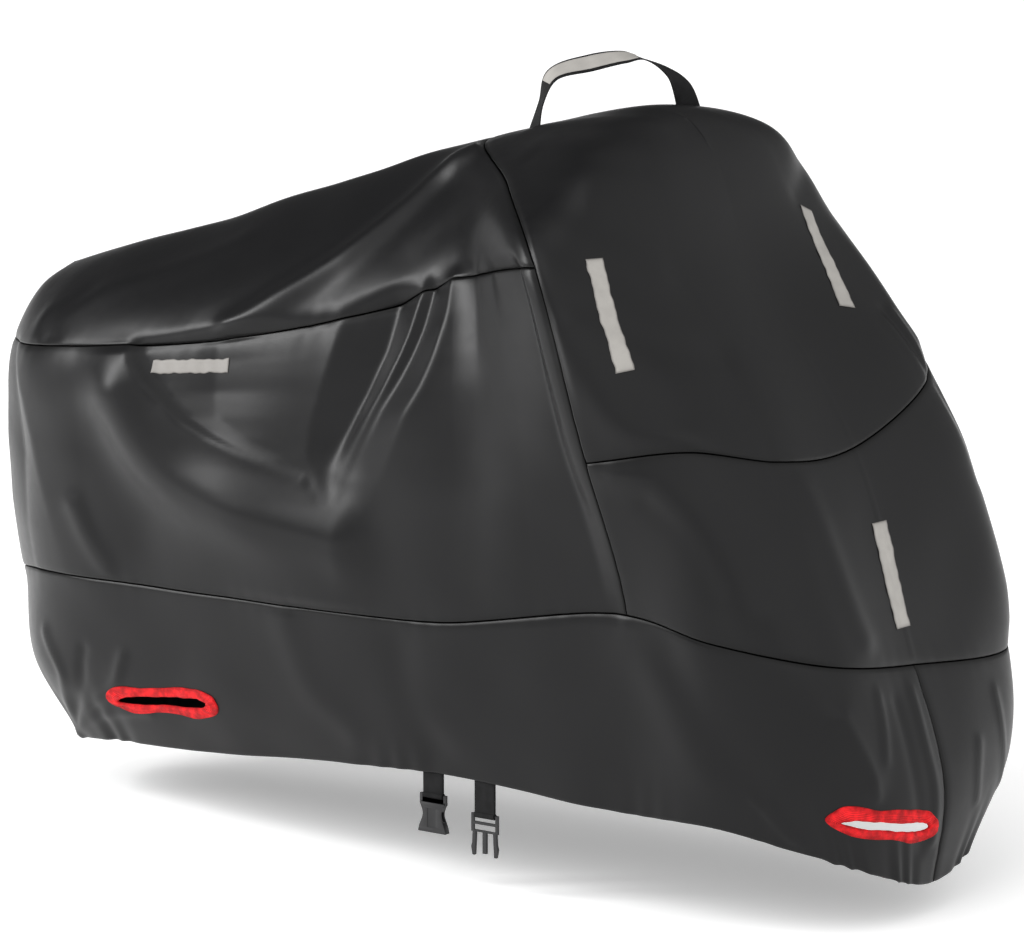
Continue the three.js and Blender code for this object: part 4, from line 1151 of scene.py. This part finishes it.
def shape_rows(piece, rows, profile):
    # Parts the block into rows along Z and widens each to the profile's half width there
    places = [vertex.co.copy() for vertex in piece.data.vertices]
    low, high = min(place.z for place in places), max(place.z for place in places)
    middle = sum(places, Vector()) / len(places)
    half = max(place.x for place in places) - middle.x
    heights = [low + (high - low) * row / rows for row in range(rows + 1)]
    select_only(piece)
    for height in heights[1:-1]:
        bpy.ops.object.mode_set(mode="EDIT")
        bpy.ops.mesh.select_all(action="SELECT")
        bpy.ops.mesh.bisect(plane_co=(middle.x, middle.y, height), plane_no=(0, 0, 1))
        bpy.ops.object.mode_set(mode="OBJECT")
    for height in heights:
        bpy.ops.object.mode_set(mode="EDIT")
        bpy.ops.mesh.select_all(action="DESELECT")
        bpy.ops.object.mode_set(mode="OBJECT")
        for vertex in piece.data.vertices:
            vertex.select = abs(vertex.co.z - height) < 1e-5
        bpy.ops.object.mode_set(mode="EDIT")
        wider = profile(height) / half
        bpy.ops.transform.resize(value=(wider, 1, 1), center_override=(middle.x, middle.y, height))
        bpy.ops.object.mode_set(mode="OBJECT")


def bar_frame(name, bar_at, slots):
    # A flat frame with bars between its slots, and the height of its foot over the first bar
    bar, slot = BUCKLE["bar"], BUCKLE["slot"]
    bottom = -bar / 2 - slots * slot - (slots - 1) * bar - BUCKLE["foot"]
    height = bar / 2 - bottom
    centre = bar_at + Vector((0, 0, bar / 2 - height / 2))
    piece = block(name, centre, (BUCKLE["width"], BUCKLE["thick"], height))
    for index in range(slots):
        drop = bar / 2 + slot / 2 + index * (bar + slot)
        opening = (BUCKLE["width"] - 2 * BUCKLE["rim"], 3 * BUCKLE["thick"], slot)
        combine(piece, "DIFFERENCE", block("slot_cutter", bar_at - Vector((0, 0, drop)), opening))
    return piece, bottom


def round_off(piece, width):
    apply_modifier(piece, "BEVEL", width=width, segments=3, limit_method="ANGLE", angle_limit=EDGE_ANGLE)
    select_only(piece)
    bpy.ops.object.shade_smooth_by_angle(angle=SMOOTH_ANGLE)
    piece.data.materials.clear()
    piece.data.materials.append(ACETAL)


def socket_half(bar_at):
    piece, bottom = bar_frame("buckle_socket_body", bar_at, 1)
    top = bar_at.z + bottom + BUCKLE["foot"]
    foot = bar_at.z + bottom - SOCKET["length"]
    # Half widths up the body: flared foot, waist and shoulders
    knots = np.array((
        (foot, SOCKET["flare"] / 2),
        (foot + SOCKET["flare_up"] * SOCKET["length"], SOCKET["flare"] / 2 - SOCKET["inset"]),
        (bar_at.z + bottom - SOCKET["waist_down"] * SOCKET["length"], SOCKET["waist"] / 2),
        (top, BUCKLE["width"] / 2 - SOCKET["inset"]),
    ))
    profile = smooth_line(knots, np.linspace(0, len(knots) - 1, PROFILE_STEPS + 1))
    body = block("socket_body", (bar_at.x, bar_at.y, (top + foot) / 2),
                 (BUCKLE["width"], SOCKET["thick"], top - foot))
    shape_rows(body, SOCKET_ROWS, lambda height: float(np.interp(height, profile[:, 0], profile[:, 1])))
    for face in (-1, 1):
        recess_at = (bar_at.x, bar_at.y + face * SOCKET["thick"] / 2, foot + SOCKET["recess_up"])
        combine(body, "DIFFERENCE", block("recess_cutter", recess_at, SOCKET["recess"]))
    combine(piece, "UNION", body)
    mouth = block("mouth_cutter", (bar_at.x, bar_at.y, foot + (SOCKET["deep"] - SOCKET["clear"]) / 2),
                  (SOCKET["mouth"], SOCKET["hollow"], SOCKET["deep"] + SOCKET["clear"]))
    combine(piece, "DIFFERENCE", mouth)
    round_off(piece, SOCKET["edge"])
    return piece


def prong(name, root, length, width, lean, catch):
    # A flat prong that leans outwards towards its tip, where the sprung ones have a catch
    piece = block(name, (root[0], root[1], root[2] - length / 2), (width, PLUG["thick"], length))
    shape_rows(piece, PRONG_ROWS, lambda height: width / 2)
    first, last = PLUG["catch_at"]
    for vertex in piece.data.vertices:
        share = (root[2] - vertex.co.z) / length
        vertex.co.x += lean * share
        outer = (vertex.co.x - root[0]) * (1 if lean >= 0 else -1) > 0
        if catch and outer and first < share < last:
            vertex.co.x += math.copysign(catch, lean)
        if catch and outer and share > PLUG["tip"]:
            vertex.co.x -= math.copysign(catch, lean)
    return piece


def plug_half(bar_at):
    piece, bottom = bar_frame("buckle_plug_body", bar_at, 2)
    root = bar_at.z + bottom + PLUG["root"]
    length = PLUG["length"] + PLUG["root"]
    reach = BUCKLE["width"] / 2 - PLUG["prong"] / 2 - PLUG["lean"]
    for turn in (-1, 1):
        arm = prong("plug_prong", (bar_at.x + turn * reach, bar_at.y, root), length,
                    PLUG["prong"] - PLUG["slimmer"], turn * PLUG["lean"], PLUG["catch"])
        combine(piece, "UNION", arm)
    guide = prong("plug_guide", (bar_at.x, bar_at.y, root), length - PLUG["shorter"], PLUG["guide"], 0, 0)
    combine(piece, "UNION", guide)
    round_off(piece, PLUG["edge"])
    return piece


for belt, make in zip(BELTS, (socket_half, plug_half)):
    buckle = make(belt_anchor(belt) - Vector((0, 0, belt["drop"])))
    dress(buckle, f"buckle_{belt['name']}")

# Studio: a plain pale floor under the cover, a tall soft light at the viewer's left and a weak broad
# one overhead. The floor glows a little, which lightens the shade on it.
FLOOR = -1.046
FLOOR_SIZE = 90
GLOW = 0.3
KEY_LIGHT = {"right": -4.2, "up": 1.9, "width": 1.3, "height": 2.6, "watts": 160}
OVERHEAD = {"right": 0.45, "back": 0.35, "strength": 0.5, "spread": 50}
bpy.ops.object.select_all(action="DESELECT")
bpy.ops.mesh.primitive_plane_add(size=FLOOR_SIZE, location=(0, 0, FLOOR))
floor = bpy.context.active_object
floor.name = "floor"
bpy.ops.object.transform_apply(location=True, rotation=False, scale=True)
pale = new_finish("pale matt floor")
add_surface(pale, {"Base Color": linear("#fbfbfb"), "Roughness": 0.9,
                   "Emission Color": linear("#ffffff"), "Emission Strength": GLOW})
floor.data.materials.append(pale)

TO_RIGHT = Vector((math.cos(VIEW_AZIMUTH), math.sin(VIEW_AZIMUTH), 0))
TO_FRONT = Vector((TO_VIEWER.x, TO_VIEWER.y, 0)).normalized()


def add_light(name, kind, energy, shine):
    light = bpy.data.objects.new(name, bpy.data.lights.new(name, kind))
    light.data.energy = energy
    light.rotation_euler = shine.to_track_quat("-Z", "Y").to_euler()
    bpy.context.collection.objects.link(light)
    return light


key_place = AIM + TO_RIGHT * KEY_LIGHT["right"] + Vector((0, 0, KEY_LIGHT["up"]))
key = add_light("key light", "AREA", KEY_LIGHT["watts"], AIM - key_place)
key.location = key_place
key.data.shape = "RECTANGLE"
key.data.size = KEY_LIGHT["width"]
key.data.size_y = KEY_LIGHT["height"]
down = TO_RIGHT * OVERHEAD["right"] - TO_FRONT * OVERHEAD["back"] - Vector((0, 0, 1))
overhead = add_light("overhead light", "SUN", OVERHEAD["strength"], down)
overhead.data.angle = math.radians(OVERHEAD["spread"])

# The room: a low white screen all round, and over it grey walls, bright on the viewer's side and dark
# behind the cover.
ROOM_LIGHT = 0.75
ROOM_LEAN = 1.0
ROOM_SIDE = 0.45
ROOM_LEAST = 0.1
SCREEN_TOP = (0.05, 0.1)
world = bpy.data.worlds.new("studio")
world.use_nodes = True
way = add_node(world, "TexCoord").outputs["Generated"]
brightest = (TO_FRONT + TO_RIGHT * ROOM_SIDE).normalized()
facing = add_node(world, "VectorMath", {0: way, 1: brightest}, operation="DOT_PRODUCT")
walls = add_node(world, "Math", {0: facing.outputs["Value"], 1: ROOM_LEAN, 2: ROOM_LIGHT},
                 operation="MULTIPLY_ADD")
height = add_node(world, "SeparateXYZ", {0: way}).outputs["Z"]
screen = add_node(world, "MapRange", {
    "Value": height, "From Min": SCREEN_TOP[0], "From Max": SCREEN_TOP[1],
    "To Min": 1, "To Max": ROOM_LEAST,
})
strength = add_node(world, "Math", {0: walls.outputs[0], 1: screen.outputs[0]}, operation="MAXIMUM")
background = world.node_tree.nodes["Background"]
background.inputs["Color"].default_value = (1, 1, 1, 1)
world.node_tree.links.new(strength.outputs[0], background.inputs["Strength"])
bpy.context.scene.world = world
bpy.context.scene.view_settings.view_transform = "Standard"
